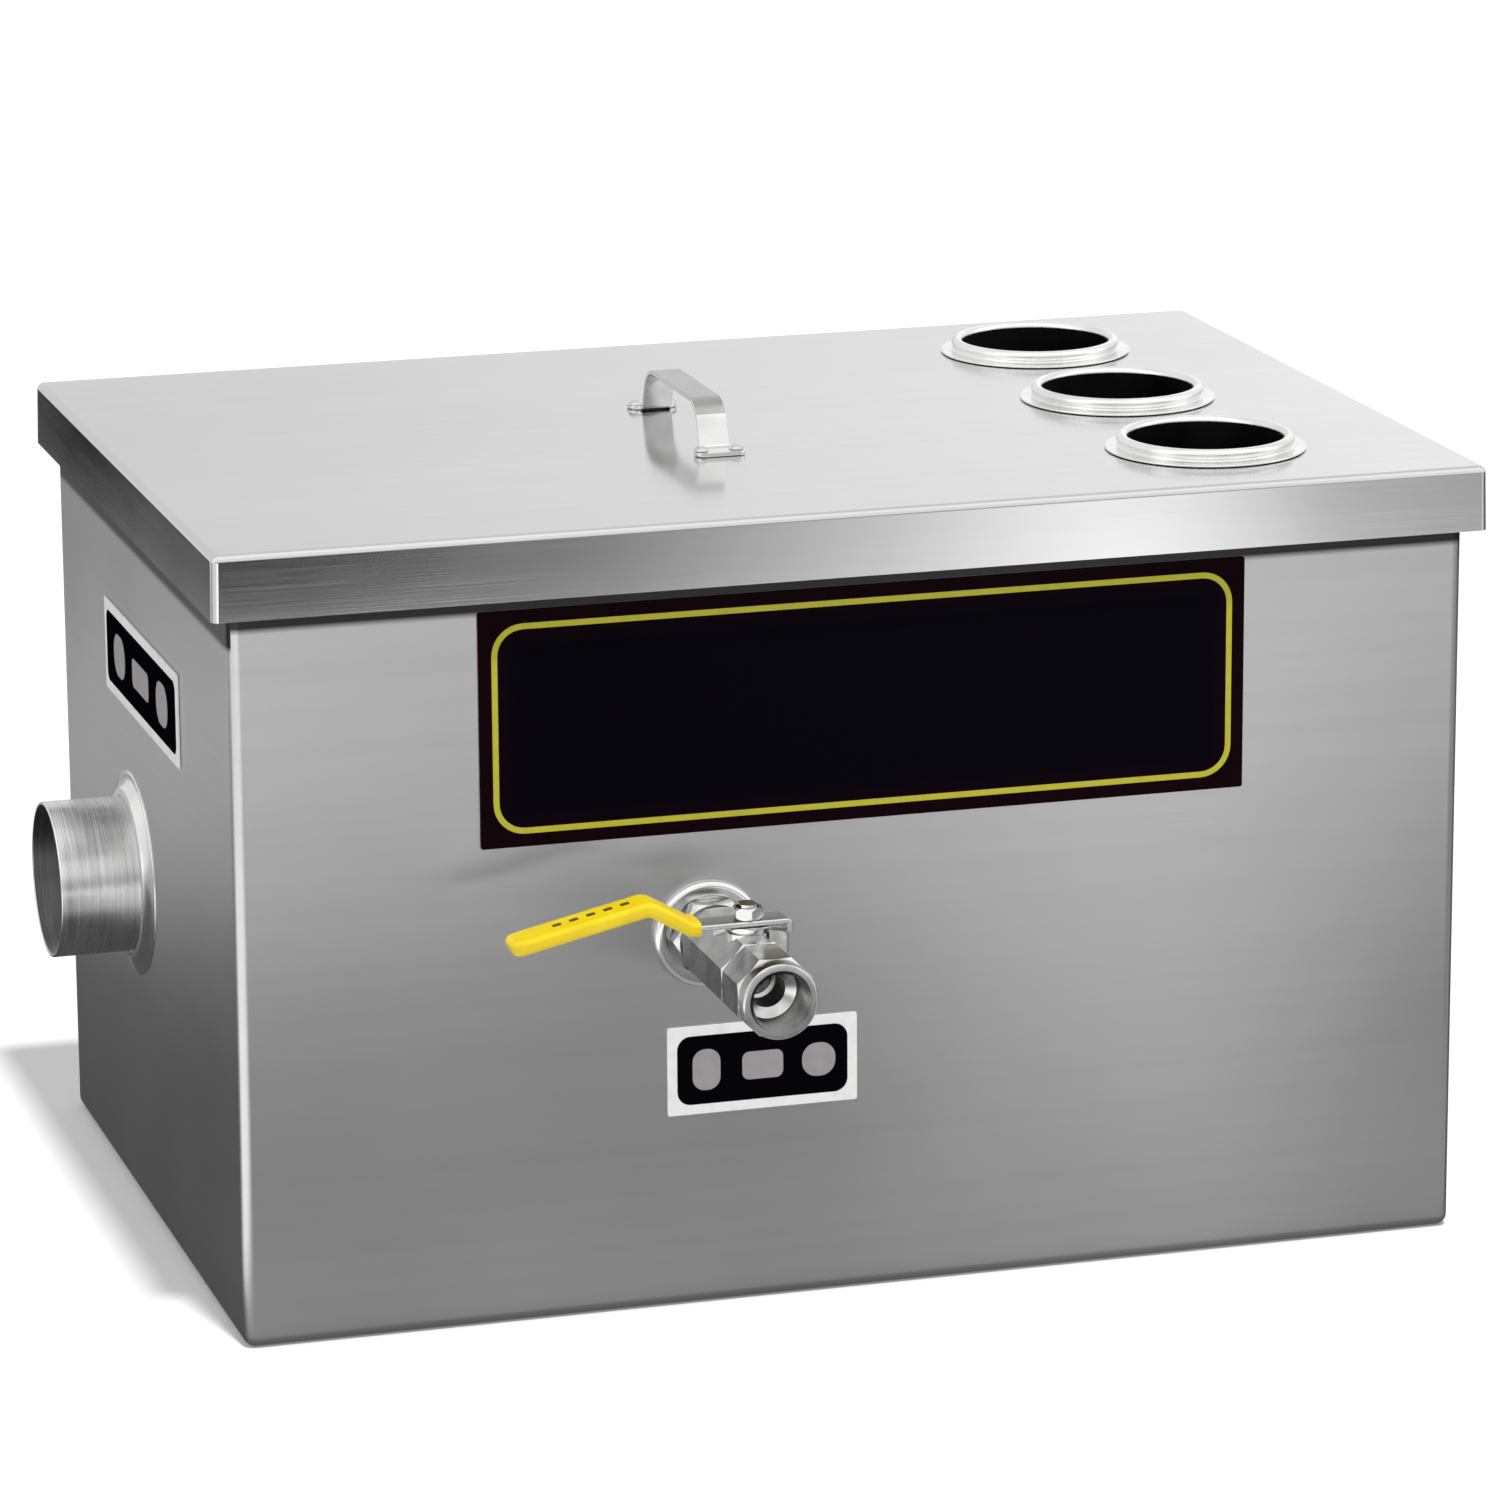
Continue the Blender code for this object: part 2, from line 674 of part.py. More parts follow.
def make_port_collars():
    """Spun collars: a flange on the lid, a rolled bead above and a spigot through the lid."""
    outer = PORT_BORE_RADIUS + PORT_WALL
    bead_centre = (PORT_BORE_RADIUS + PORT_BEAD_RADIUS, PORT_BEAD_HEIGHT)
    flange_top = SEAT_GAP + PORT_FLANGE_THICKNESS
    neck = PORT_BORE_RADIUS + 2 * PORT_BEAD_RADIUS - PORT_WALL
    profile = arc(bead_centre, PORT_BEAD_RADIUS, 150, -30, 4)
    profile += [(neck, flange_top + PORT_WALL), (neck + PORT_WALL, flange_top)]
    profile += [(PORT_FLANGE_RADIUS, flange_top), (PORT_FLANGE_RADIUS, SEAT_GAP)]
    profile += [(outer, SEAT_GAP), (outer, -PORT_SPIGOT_DEPTH)]
    profile += [(PORT_BORE_RADIUS, -PORT_SPIGOT_DEPTH), (PORT_BORE_RADIUS, PORT_BEAD_HEIGHT)]
    for place, (x, y) in zip(("front", "middle", "rear"), port_places()):
        turned(
            f"port_collar_{place}",
            profile,
            polished_steel(),
            FINE_FACETS,
            location=(x, y, OVERALL_HEIGHT),
        )


def slot(length, width, start, end, along_y=False):
    """A bar of obround section along Z, for cutting one slot."""
    bm = round_bar(width / 2, start, end, SLOT_FACETS, turn=math.pi / SLOT_FACETS)
    axis = 1 if along_y else 0
    for vert in bm.verts:
        vert.co[axis] += math.copysign((length - width) / 2, vert.co[axis])
    return bm


def spread(pitch, room):
    """Evenly pitched places centred on zero that fit in the room."""
    count = max(1, int(room / pitch))
    return [pitch * (index - (count - 1) / 2) for index in range(count)]


def place_slot(bm, turn, x, y, z):
    bmesh.ops.transform(bm, matrix=Matrix.Translation((x, y, z)) @ turn, verts=bm.verts)
    return bm


def basket_centre_x():
    return (INLET_BAFFLE_X + HALF_LENGTH - TANK_SHEET) / 2


def basket_half_sizes():
    chamber = HALF_LENGTH - TANK_SHEET - INLET_BAFFLE_X
    half_x = chamber / 2 - BASKET_END_CLEARANCE - BASKET_RIM_WIDTH
    half_y = HALF_DEPTH - TANK_SHEET - LEDGE_LEG - SEAT_GAP - LEDGE_SHEET
    return half_x, half_y


def basket_slots(half_x, half_y, top):
    """Cutters for the slots in the floor, the long walls and the end walls."""
    upright = Matrix.Identity(4)
    through_x = Matrix.Rotation(math.pi / 2, 4, "Y")
    through_y = Matrix.Rotation(math.pi / 2, 4, "X")
    margin = SLOT_EDGE_MARGIN
    middle_z = (BASKET_BASE_HEIGHT + top) / 2
    floor = []
    for x in spread(FLOOR_SLOT_PITCH_X, 2 * (half_x - margin) + FLOOR_SLOT_PITCH_X - FLOOR_SLOT_LENGTH):
        for y in spread(FLOOR_SLOT_PITCH_Y, 2 * (half_y - margin)):
            piece = slot(FLOOR_SLOT_LENGTH, SLOT_WIDTH, -CUTTER_OVERRUN, CUTTER_OVERRUN)
            floor.append(place_slot(piece, upright, x, y, BASKET_BASE_HEIGHT))
    long_walls = []
    for y in spread(WALL_SLOT_PITCH, 2 * (half_y - margin)):
        reach = half_x + CUTTER_OVERRUN
        piece = slot(WALL_SLOT_LENGTH, SLOT_WIDTH, -reach, reach)
        long_walls.append(place_slot(piece, through_x, 0, y, middle_z))
    end_walls = []
    for x in spread(WALL_SLOT_PITCH, 2 * (half_x - margin)):
        reach = half_y + CUTTER_OVERRUN
        piece = slot(WALL_SLOT_LENGTH, SLOT_WIDTH, -reach, reach, along_y=True)
        end_walls.append(place_slot(piece, through_y, x, 0, middle_z))
    return {"floor_slots": floor, "long_wall_slots": long_walls, "end_wall_slots": end_walls}


def make_basket():
    """A slotted steel basket that hangs by its out-turned rim on the two ledges."""
    half_x, half_y = basket_half_sizes()
    top = LEDGE_TOP + SEAT_GAP + BASKET_SHEET
    basket = box_shell(
        "strainer_basket",
        half_x,
        half_y,
        BASKET_BASE_HEIGHT,
        top,
        BASKET_CORNER_RADIUS,
        BASKET_SHEET,
        sheet_steel(),
        rim=BASKET_RIM_WIDTH,
    )
    place = (basket_centre_x(), 0.0, 0.0)
    basket.location = place
    for name, pieces in basket_slots(half_x, half_y, top).items():
        cut(basket, helper(name, merged(pieces), location=place))


def make_basket_grips():
    """Bent wire loops welded inside the end walls of the basket, to lift it by."""
    half_x, half_y = basket_half_sizes()
    rim_z = LEDGE_TOP + SEAT_GAP + BASKET_SHEET
    half = GRIP_WIDTH / 2
    low = (-half, rim_z - GRIP_LEG_BELOW_RIM)
    corner = (-half, rim_z + GRIP_RISE)
    left = filleted([low, corner, (0.0, corner[1])], GRIP_BEND_RADIUS, 4)[:-1]
    path = left + [(-x, z) for x, z in reversed(left)]
    inset = half_y - BASKET_SHEET - SEAT_GAP - GRIP_WIRE_RADIUS
    for place, side in (("front", -1), ("rear", 1)):
        curve = bpy.data.curves.new(f"basket_grip_{place}", "CURVE")
        curve.dimensions = "3D"
        curve.bevel_depth = GRIP_WIRE_RADIUS
        curve.bevel_resolution = 2
        curve.use_fill_caps = True
        spline = curve.splines.new("POLY")
        spline.points.add(len(path) - 1)
        for point, (x, z) in zip(spline.points, path):
            point.co = (x, 0.0, z, 1.0)
        curve.materials.append(polished_steel())
        grip = bpy.data.objects.new(f"basket_grip_{place}", curve)
        grip.location = (basket_centre_x(), side * inset, 0.0)
        PARTS.objects.link(grip)


def make_ledges():
    """Steel angles welded to the front and rear walls, which carry the basket's rim."""
    half_x, half_y = basket_half_sizes()
    half = LEDGE_SHEET / 2
    wall_gap = TANK_SHEET + SEAT_GAP
    leg = LEDGE_LEG - SEAT_GAP
    section = [(half, -leg), (half, -half), (leg, -half)]
    for place, side in (("front", -1), ("rear", 1)):
        turned_section = [(-side * x, y) for x, y in section]
        folded_sheet(
            f"basket_ledge_{place}",
            filleted(turned_section, LEDGE_SHEET),
            -half_x - BASKET_RIM_WIDTH,
            half_x + BASKET_RIM_WIDTH,
            LEDGE_SHEET,
            sheet_steel(),
            location=(basket_centre_x(), side * (HALF_DEPTH - wall_gap), LEDGE_TOP),
            rotation=ALONG_X,
        )


def make_channels(name, x):
    """Upright channels welded to the front and rear walls, open to the tank's inside."""
    half = (CHANNEL_INNER_WIDTH + CHANNEL_SHEET) / 2
    back = TANK_SHEET + SEAT_GAP + CHANNEL_SHEET / 2
    leg = CHANNEL_LEG - CHANNEL_SHEET / 2
    for place, side in (("front", -1), ("rear", 1)):
        section = [(-half, -side * leg), (-half, 0.0), (half, 0.0), (half, -side * leg)]
        folded_sheet(
            f"{name}_channel_{place}",
            filleted(section, CHANNEL_SHEET),
            CHANNEL_START,
            CHANNEL_TOP,
            CHANNEL_SHEET,
            sheet_steel(),
            location=(x, side * (HALF_DEPTH - back), 0.0),
        )


def make_baffle(name, x, fold_side):
    """A plate that slides in two channels and hangs on them by its folded top edge."""
    half_y = HALF_DEPTH - TANK_SHEET - SEAT_GAP - CHANNEL_SHEET - BAFFLE_SIDE_PLAY
    fold_z = CHANNEL_TOP + SEAT_GAP + BAFFLE_SHEET / 2
    section = [(0.0, BAFFLE_UNDERFLOW), (0.0, fold_z), (fold_side * BAFFLE_TOP_FOLD, fold_z)]
    folded_sheet(
        name,
        filleted(section, BAFFLE_SHEET),
        -half_y,
        half_y,
        BAFFLE_SHEET,
        sheet_steel(),
        location=(x, 0.0, 0.0),
        rotation=OUT_OF_FRONT,
    )


def make_outlet():
    """A pipe stub through the left wall, with a dished ring welded round it outside."""
    place = (LEFT_WALL_X, OUTLET_Y, OUTLET_Z)
    bore = OUTLET_RADIUS - OUTLET_WALL
    turned(
        "outlet_pipe",
        ring_profile(OUTLET_RADIUS, bore, -OUTLET_INSIDE, OUTLET_REACH),
        pipe_steel(),
        FINE_FACETS,
        location=place,
        rotation=OUT_OF_LEFT,
    )
    inner = OUTLET_RADIUS + SEAT_GAP
    width = OUTLET_RING_RADIUS - inner
    profile = [(inner + width * r, OUTLET_RING_HEIGHT * z) for r, z in OUTLET_RING_SLOPE]
    profile += [(OUTLET_RING_RADIUS, SEAT_GAP), (inner, SEAT_GAP), (inner, OUTLET_RING_HEIGHT)]
    turned("outlet_ring", profile, polished_steel(), FINE_FACETS, location=place, rotation=OUT_OF_LEFT)


def make_outlet_tee():
    """A tee slipped on the pipe's inner end: it draws from below and is open above."""
    run_x = LEFT_WALL_X + TEE_RUN_DISTANCE
    branch_bore = OUTLET_RADIUS + SEAT_GAP
    wall_side = -TANK_SHEET - SEAT_GAP
    run_at = (run_x, OUTLET_Y, 0.0)
    pipe_at = (LEFT_WALL_X, OUTLET_Y, OUTLET_Z)
    tee = solid(
        "outlet_tee",
        round_bar(TEE_RUN_BORE_RADIUS + TEE_WALL, TEE_FOOT, TEE_TOP, FINE_FACETS),
        pipe_steel(),
        location=run_at,
    )
    branch_end = TEE_BRANCH_ROOT - TEE_RUN_DISTANCE
    branch = round_bar(branch_bore + TEE_BRANCH_WALL, branch_end, wall_side, FINE_FACETS)
    join(tee, helper("tee_branch", branch, location=pipe_at, rotation=OUT_OF_LEFT))
    low = TEE_FOOT - CUTTER_OVERRUN
    high = TEE_TOP + CUTTER_OVERRUN
    run_bore = round_bar(TEE_RUN_BORE_RADIUS, low, high, FINE_FACETS)
    bore = round_bar(branch_bore, -TEE_RUN_DISTANCE, CUTTER_OVERRUN, FINE_FACETS)
    cut(
        tee,
        helper("tee_run_bore", run_bore, location=run_at),
        helper("tee_branch_bore", bore, location=pipe_at, rotation=OUT_OF_LEFT),
    )
    settle_round(tee)


def make_plate(name, centre, size, material, on_left_wall=False):
    """A thin plate stuck on the front wall or the left wall."""
    half_width = size[0] / 2
    half_height = size[1] / 2
    low = (-half_width, -half_height, SEAT_GAP)
    high = (half_width, half_height, SEAT_GAP + PLATE_THICKNESS)
    plate = solid(name, box(low, high, PLATE_CORNER_RADIUS), material)
    if on_left_wall:
        plate.location = (LEFT_WALL_X, centre[0], centre[1])
        plate.rotation_euler = (math.pi / 2, 0.0, -math.pi / 2)
    else:
        plate.location = (centre[0], FRONT_WALL_Y, centre[1])
        plate.rotation_euler = OUT_OF_FRONT


def new_empty(name, location, rotation=(0, 0, 0), parent=None):
    empty = bpy.data.objects.new(name, None)
    empty.empty_display_size = 0.02
    empty.location = location
    empty.rotation_euler = rotation
    empty.parent = parent
    PARTS.objects.link(empty)
    return empty


def make_bulkhead(axis):
    """What clamps the valve in the wall: ring, threaded nipple, gasket and lock nut."""
    hole = THREAD_RADIUS + SEAT_GAP
    ring_top = SEAT_GAP + WALL_RING_THICKNESS
    dish = ring_top - WALL_RING_DISH_DEPTH
    edge = WALL_RING_EDGE_RADIUS
    ring = arc((WALL_RING_RADIUS - edge, ring_top - edge), edge, 90, 0, 3)
    ring += [(WALL_RING_RADIUS, SEAT_GAP), (hole, SEAT_GAP), (hole, dish), (WALL_RING_DISH_RADIUS, dish)]
    turned("valve_wall_ring", ring, polished_steel(), FINE_FACETS, parent=axis)

    inside = -TANK_SHEET - SEAT_GAP
    gasket_end = inside - BULKHEAD_GASKET_THICKNESS
    nut_start = gasket_end - SEAT_GAP
    nut_end = nut_start - LOCKNUT_LENGTH
    turned(
        "bulkhead_gasket",
        ring_profile(BULKHEAD_GASKET_RADIUS, hole, gasket_end, inside),
        seal_rubber(),
        SMALL_FACETS,
        parent=axis,
    )
    nut_form = prism(LOCKNUT_FLATS, 6, nut_end, nut_start, NUT_CHAMFER)
    nut = solid("bulkhead_locknut", nut_form, cast_steel(), axis)
    nut_hole = round_bar(hole, nut_end - CUTTER_OVERRUN, nut_start + CUTTER_OVERRUN)
    cut(nut, helper("locknut_hole", nut_hole, axis))

    nipple_start = nut_end - NIPPLE_TAIL
    hex_start = dish + SEAT_GAP
    nipple = solid("valve_nipple", round_bar(THREAD_RADIUS, nipple_start, NIPPLE_END), cast_steel(), axis)
    hexagon = prism(NIPPLE_HEX_FLATS, 6, hex_start, hex_start + NIPPLE_HEX_LENGTH, NUT_CHAMFER)
    join(nipple, helper("nipple_hexagon", hexagon, axis))
    bore = round_bar(NIPPLE_BORE_RADIUS, nipple_start - CUTTER_OVERRUN, NIPPLE_END + CUTTER_OVERRUN)
    cut(nipple, helper("nipple_bore", bore, axis))


def stop_angle():
    """Angle between the lever's tab at a limit and the ear that stops it, about the stem."""
    tab_inner = LEVER_TAB_REACH - LEVER_THICKNESS / 2
    half_width = LEVER_WIDTH / 2
    corner_distance = math.hypot(tab_inner, half_width)
    corner_angle = math.atan2(half_width, tab_inner)
    return corner_angle + math.asin((STOP_EAR_WIDTH / 2 + SEAT_GAP) / corner_distance)


def stop_ear(angle):
    """An ear cast on the body beside the neck, at that angle from +X about the stem."""
    start = GLAND_FLATS / 2 / math.cos(math.pi / 6) + 2 * SEAT_GAP
    low = (start, -STOP_EAR_WIDTH / 2, BODY_FLATS / 2 - CASTING_ROOT)
    high = (STOP_EAR_REACH, STOP_EAR_WIDTH / 2, NECK_TOP + GLAND_HEIGHT / 2)
    bm = box(low, high)
    bmesh.ops.transform(bm, matrix=Matrix.Rotation(angle, 4, "Z"), verts=bm.verts)
    return bm


def make_valve_body(axis, pivot):
    """An eight-sided cast body with a socket for the nipple, a ball chamber and a neck."""
    rear_seat = STEM_DISTANCE - SEAT_DEPTH - SEAT_GAP
    body = solid("valve_body", prism(BODY_FLATS, 8, BODY_START, BODY_END, BODY_CHAMFER), cast_steel(), axis)
    neck = round_bar(NECK_RADIUS, BODY_FLATS / 2 - CASTING_ROOT, NECK_TOP)
    join(body, helper("body_neck", neck, pivot))
    angle = stop_angle()
    join(body, helper("closed_stop", stop_ear(-angle), pivot))
    join(body, helper("open_stop", stop_ear(math.pi / 2 + angle), pivot))
    socket = THREAD_RADIUS + SEAT_GAP
    cavity = [
        (0.0, BODY_END + CUTTER_OVERRUN),
        (CHAMBER_RADIUS, BODY_END + CUTTER_OVERRUN),
        (CHAMBER_RADIUS, rear_seat),
        (PORT_IN_VALVE_RADIUS, rear_seat),
        (PORT_IN_VALVE_RADIUS, BODY_START + SOCKET_DEPTH),
        (socket, BODY_START + SOCKET_DEPTH),
        (socket, BODY_START - CUTTER_OVERRUN),
        (0.0, BODY_START - CUTTER_OVERRUN),
    ]
    passage = [
        (0.0, NECK_TOP + CUTTER_OVERRUN),
        (PACKING_RADIUS + SEAT_GAP, NECK_TOP + CUTTER_OVERRUN),
        (PACKING_RADIUS + SEAT_GAP, NECK_TOP - PACKING_HEIGHT - SEAT_GAP),
        (STEM_RADIUS + SEAT_GAP, NECK_TOP - PACKING_HEIGHT - SEAT_GAP),
        (STEM_RADIUS + SEAT_GAP, 0.0),
        (0.0, 0.0),
    ]
    cut(
        body,
        make_cutter(turned("body_cavity", cavity, cast_steel(), parent=axis)),
        make_cutter(turned("stem_passage", passage, cast_steel(), parent=pivot)),
    )


def make_end_cap(axis):
    """The screwed-in front half of the body, which ends in the round threaded mouth."""
    spigot_start = STEM_DISTANCE + SEAT_DEPTH + SEAT_GAP
    cap_start = BODY_END + SEAT_GAP
    cap = solid("valve_end_cap", prism(BODY_FLATS, 8, cap_start, CAP_END, BODY_CHAMFER), cast_steel(), axis)
    spigot = round_bar(CHAMBER_RADIUS - SEAT_GAP, spigot_start, cap_start + JOIN_OVERLAP)
    mouth = round_bar(MOUTH_RADIUS, CAP_END - JOIN_OVERLAP, MOUTH_END, FINE_FACETS)
    join(cap, helper("cap_spigot", spigot, axis), helper("cap_mouth", mouth, axis))
    thread_start = MOUTH_END - MOUTH_THREAD_DEPTH
    bore = [
        (0.0, MOUTH_END + CUTTER_OVERRUN),
        (THREAD_RADIUS, MOUTH_END + CUTTER_OVERRUN),
        (THREAD_RADIUS, thread_start),
        (PORT_IN_VALVE_RADIUS, thread_start - MOUTH_TAPER),
        (PORT_IN_VALVE_RADIUS, spigot_start - CUTTER_OVERRUN),
        (0.0, spigot_start - CUTTER_OVERRUN),
    ]
    cut(cap, make_cutter(turned("cap_bore", bore, cast_steel(), parent=axis)))


def make_seats(axis):
    """Two plastic rings that seal on the ball, mirrored about the stem."""
    sphere = BALL_RADIUS + SEAT_GAP
    first = math.degrees(math.acos(PORT_IN_VALVE_RADIUS / sphere))
    last = math.degrees(math.acos(SEAT_CONTACT_RADIUS / sphere))
    outer = CHAMBER_RADIUS - SEAT_GAP
    face = arc((0.0, 0.0), sphere, last, first, 3)
    front = [(outer, SEAT_DEPTH), (outer, face[0][1]), *face, (PORT_IN_VALVE_RADIUS, SEAT_DEPTH)]
    for name, side in (("valve_seat_front", 1), ("valve_seat_rear", -1)):
        seat_at = new_empty(f"{name}_place", (0.0, 0.0, STEM_DISTANCE), parent=axis)
        if side < 0:
            seat_at.rotation_euler = (math.pi, 0.0, 0.0)
        turned(name, front, seat_plastic(), SMALL_FACETS, parent=seat_at)


def make_packing(pivot):
    """The stem's packing ring in the neck, and the gland nut that presses it."""
    hole = STEM_RADIUS + SEAT_GAP
    turned(
        "stem_packing",
        ring_profile(PACKING_RADIUS, hole, NECK_TOP - PACKING_HEIGHT, NECK_TOP),
        seat_plastic(),
        SMALL_FACETS,
        parent=pivot,
    )
    start = NECK_TOP + SEAT_GAP
    end = start + GLAND_HEIGHT
    nut = solid("gland_nut", prism(GLAND_FLATS, 6, start, end, SMALL_NUT_CHAMFER), cast_steel(), pivot)
    cut(nut, helper("gland_hole", round_bar(hole, start - CUTTER_OVERRUN, end + CUTTER_OVERRUN), pivot))


def make_ball(pivot):
    """The ball at rest is closed: its port lies across the valve, with the stem's slot on top."""
    bm = bmesh.new()
    bmesh.ops.create_uvsphere(bm, u_segments=SMALL_FACETS, v_segments=SMALL_FACETS // 2, radius=BALL_RADIUS)
    ball = solid("valve_ball", bm, polished_steel(), pivot)
    port = helper(
        "ball_port",
        round_bar(PORT_IN_VALVE_RADIUS, -BALL_RADIUS - CUTTER_OVERRUN, BALL_RADIUS + CUTTER_OVERRUN),
        pivot,
        rotation=ALONG_X,
    )
    half_slot = TANG_WIDTH / 2 + SEAT_GAP
    slot_floor = BALL_RADIUS - TANG_DEPTH
    slot_box = box((-half_slot, -BALL_RADIUS, slot_floor), (half_slot, BALL_RADIUS, BALL_RADIUS * 2))
    cut(ball, port, helper("ball_slot", slot_box, pivot))
    settle_round(ball)


def double_d(radius, flats, start, end):
    """A round bar along Z with two flats, square to X."""
    bm = round_bar(radius, start, end)
    for vert in bm.verts:
        vert.co.x = max(-flats / 2, min(flats / 2, vert.co.x))
    return bm


def make_stem(pivot):
    """A turned stem with a blade for the ball's slot and two flats for the lever."""
    shoulder = BALL_RADIUS + SEAT_GAP * 2
    bar = round_bar(STEM_RADIUS, shoulder, LEVER_UNDERSIDE - SEAT_GAP)
    stem = solid("valve_stem", bar, cast_steel(), pivot)
    top = LEVER_TOP + SEAT_GAP + LEVER_NUT_HEIGHT + STEM_ABOVE_NUT
    flats = double_d(STEM_RADIUS, STEM_FLATS, LEVER_UNDERSIDE - JOIN_OVERLAP, top)
    half_width = TANG_WIDTH / 2
    half_length = TANG_LENGTH / 2
    foot = BALL_RADIUS - TANG_DEPTH + SEAT_GAP
    tang = box((-half_width, -half_length, foot), (half_width, half_length, shoulder + JOIN_OVERLAP))
    join(stem, helper("stem_flats", flats, pivot), helper("stem_tang", tang, pivot))


def lever_path():
    """Mid-line of the lever: X away from the stem, and height above the valve's axis."""
    tab_foot = BODY_FLATS / 2 + LEVER_TAB_CLEARANCE
    bend_z = LEVER_MID + LEVER_BEND_RISE
    drop = (LEVER_LENGTH - LEVER_BEND_REACH) * math.tan(math.radians(LEVER_DROOP_DEGREES))
    return [
        (LEVER_TAB_REACH, tab_foot),
        (LEVER_TAB_REACH, LEVER_MID),
        (-LEVER_FLAT_REACH, LEVER_MID),
        (-LEVER_BEND_REACH, bend_z),
        (-LEVER_LENGTH, bend_z - drop),
    ]


def point_on(path, x):
    """The height of a path that runs towards -X, at x. It goes on straight past the end."""
    for (x0, z0), (x1, z1) in zip(path, path[1:]):
        if x1 <= x <= x0 and x0 != x1:
            return z0 + (z1 - z0) * (x - x0) / (x1 - x0)
    (x0, z0), (x1, z1) = path[-2:]
    return z0 + (z1 - z0) * (x - x0) / (x1 - x0)


def swept_bar(path, width, thickness, corner=0.0, steps=3):
    """A flat bar whose section follows a path in XZ, mitred at the bends. Its corners may be round."""
    half_y = width / 2 - corner
    half_n = thickness / 2 - corner
    section = []
    for quarter, (side_y, side_n) in enumerate(((1, 1), (-1, 1), (-1, -1), (1, -1))):
        centre = (side_y * half_y, side_n * half_n)
        if corner:
            section += arc(centre, corner, 90 * quarter, 90 * (quarter + 1), steps)
        else:
            section.append(centre)
    bm = bmesh.new()
    loops = []
    for index, (x, z) in enumerate(path):
        before = Vector(path[index - 1]) if index else None
        after = Vector(path[index + 1]) if index + 1 < len(path) else None
        here = Vector((x, z))
        runs = [(here - before).normalized()] if before else []
        runs += [(after - here).normalized()] if after else []
        tangent = sum(runs, Vector((0.0, 0.0))).normalized()
        stretch = 1.0 / tangent.dot(runs[0])
        normal = Vector((tangent.y, -tangent.x)) * stretch
        loops.append([bm.verts.new((x + normal.x * n, y, z + normal.y * n)) for y, n in section])
    bm.faces.new(loops[0])
    bm.faces.new(reversed(loops[-1]))
    for loop, following in zip(loops, loops[1:]):
        for index in range(len(section)):
            nearby = (index + 1) % len(section)
            bm.faces.new((loop[index], following[index], following[nearby], loop[nearby]))
    bmesh.ops.recalc_face_normals(bm, faces=bm.faces)
    return bm


def softened(path, radius, steps=3):
    """The path with its bends rounded, apart from the square fold of the tab."""
    return path[:2] + filleted(path[1:], radius, steps)[1:]


def make_lever(pivot):
    """The handle bent from flat bar, with its stop tab folded down beyond the stem."""
    path = softened(lever_path(), LEVER_BEND_RADIUS)
    lever = solid("valve_lever", swept_bar(path, LEVER_WIDTH, LEVER_THICKNESS), cast_steel(), pivot)
    radius = STEM_RADIUS + SEAT_GAP
    low = LEVER_UNDERSIDE - CUTTER_OVERRUN
    high = LEVER_TOP + CUTTER_OVERRUN
    hole = double_d(radius, STEM_FLATS + 2 * SEAT_GAP, low, high)
    cut(lever, helper("lever_hole", hole, pivot))

    start = LEVER_TOP + SEAT_GAP
    end = start + LEVER_NUT_HEIGHT
    nut_form = prism(LEVER_NUT_FLATS, 6, start, end, SMALL_NUT_CHAMFER)
    nut = solid("lever_nut", nut_form, cast_steel(), pivot)
    nut_hole = round_bar(radius, start - CUTTER_OVERRUN, end + CUTTER_OVERRUN)
    cut(nut, helper("lever_nut_hole", nut_hole, pivot))


def make_sleeve(pivot):
    """The dipped vinyl sleeve, a blind pocket pushed over the lever's arm."""
    path = lever_path()
    outside = [(-SLEEVE_START, LEVER_MID), *path[2:4], (-SLEEVE_END, point_on(path, -SLEEVE_END))]
    outside = filleted(outside, LEVER_BEND_RADIUS, 3)
    outer = swept_bar(outside, SLEEVE_WIDTH, SLEEVE_THICKNESS, SLEEVE_CORNER_RADIUS)
    pocket_start = (-SLEEVE_START + CUTTER_OVERRUN, LEVER_MID)
    pocket_end = -LEVER_LENGTH - 2 * SEAT_GAP
    pocket = [pocket_start, *path[2:4], (pocket_end, point_on(path, pocket_end))]
    pocket = filleted(pocket, LEVER_BEND_RADIUS, 3)
    inner = swept_bar(pocket, LEVER_WIDTH + 2 * SEAT_GAP, LEVER_THICKNESS + 2 * SEAT_GAP)
    sleeve = solid("lever_sleeve", outer, sleeve_vinyl(), pivot)
    cut(sleeve, helper("sleeve_pocket", inner, pivot))
    settle_round(sleeve)


def make_valve():
    """The skimming valve. Its moving pieces hang on an empty that stands on the stem's axis."""
    axis = new_empty("valve_axis", (VALVE_X, FRONT_WALL_Y, VALVE_Z), OUT_OF_FRONT)
    stem_at = (VALVE_X, FRONT_WALL_Y - STEM_DISTANCE, VALVE_Z)
    fixed = new_empty("neck_axis", stem_at)
    pivot = new_empty("lever_pivot", stem_at)
    make_bulkhead(axis)
    make_valve_body(axis, fixed)
    make_end_cap(axis)
    make_seats(axis)
    make_packing(fixed)
    make_ball(pivot)
    make_stem(pivot)
    make_lever(pivot)
    make_sleeve(pivot)


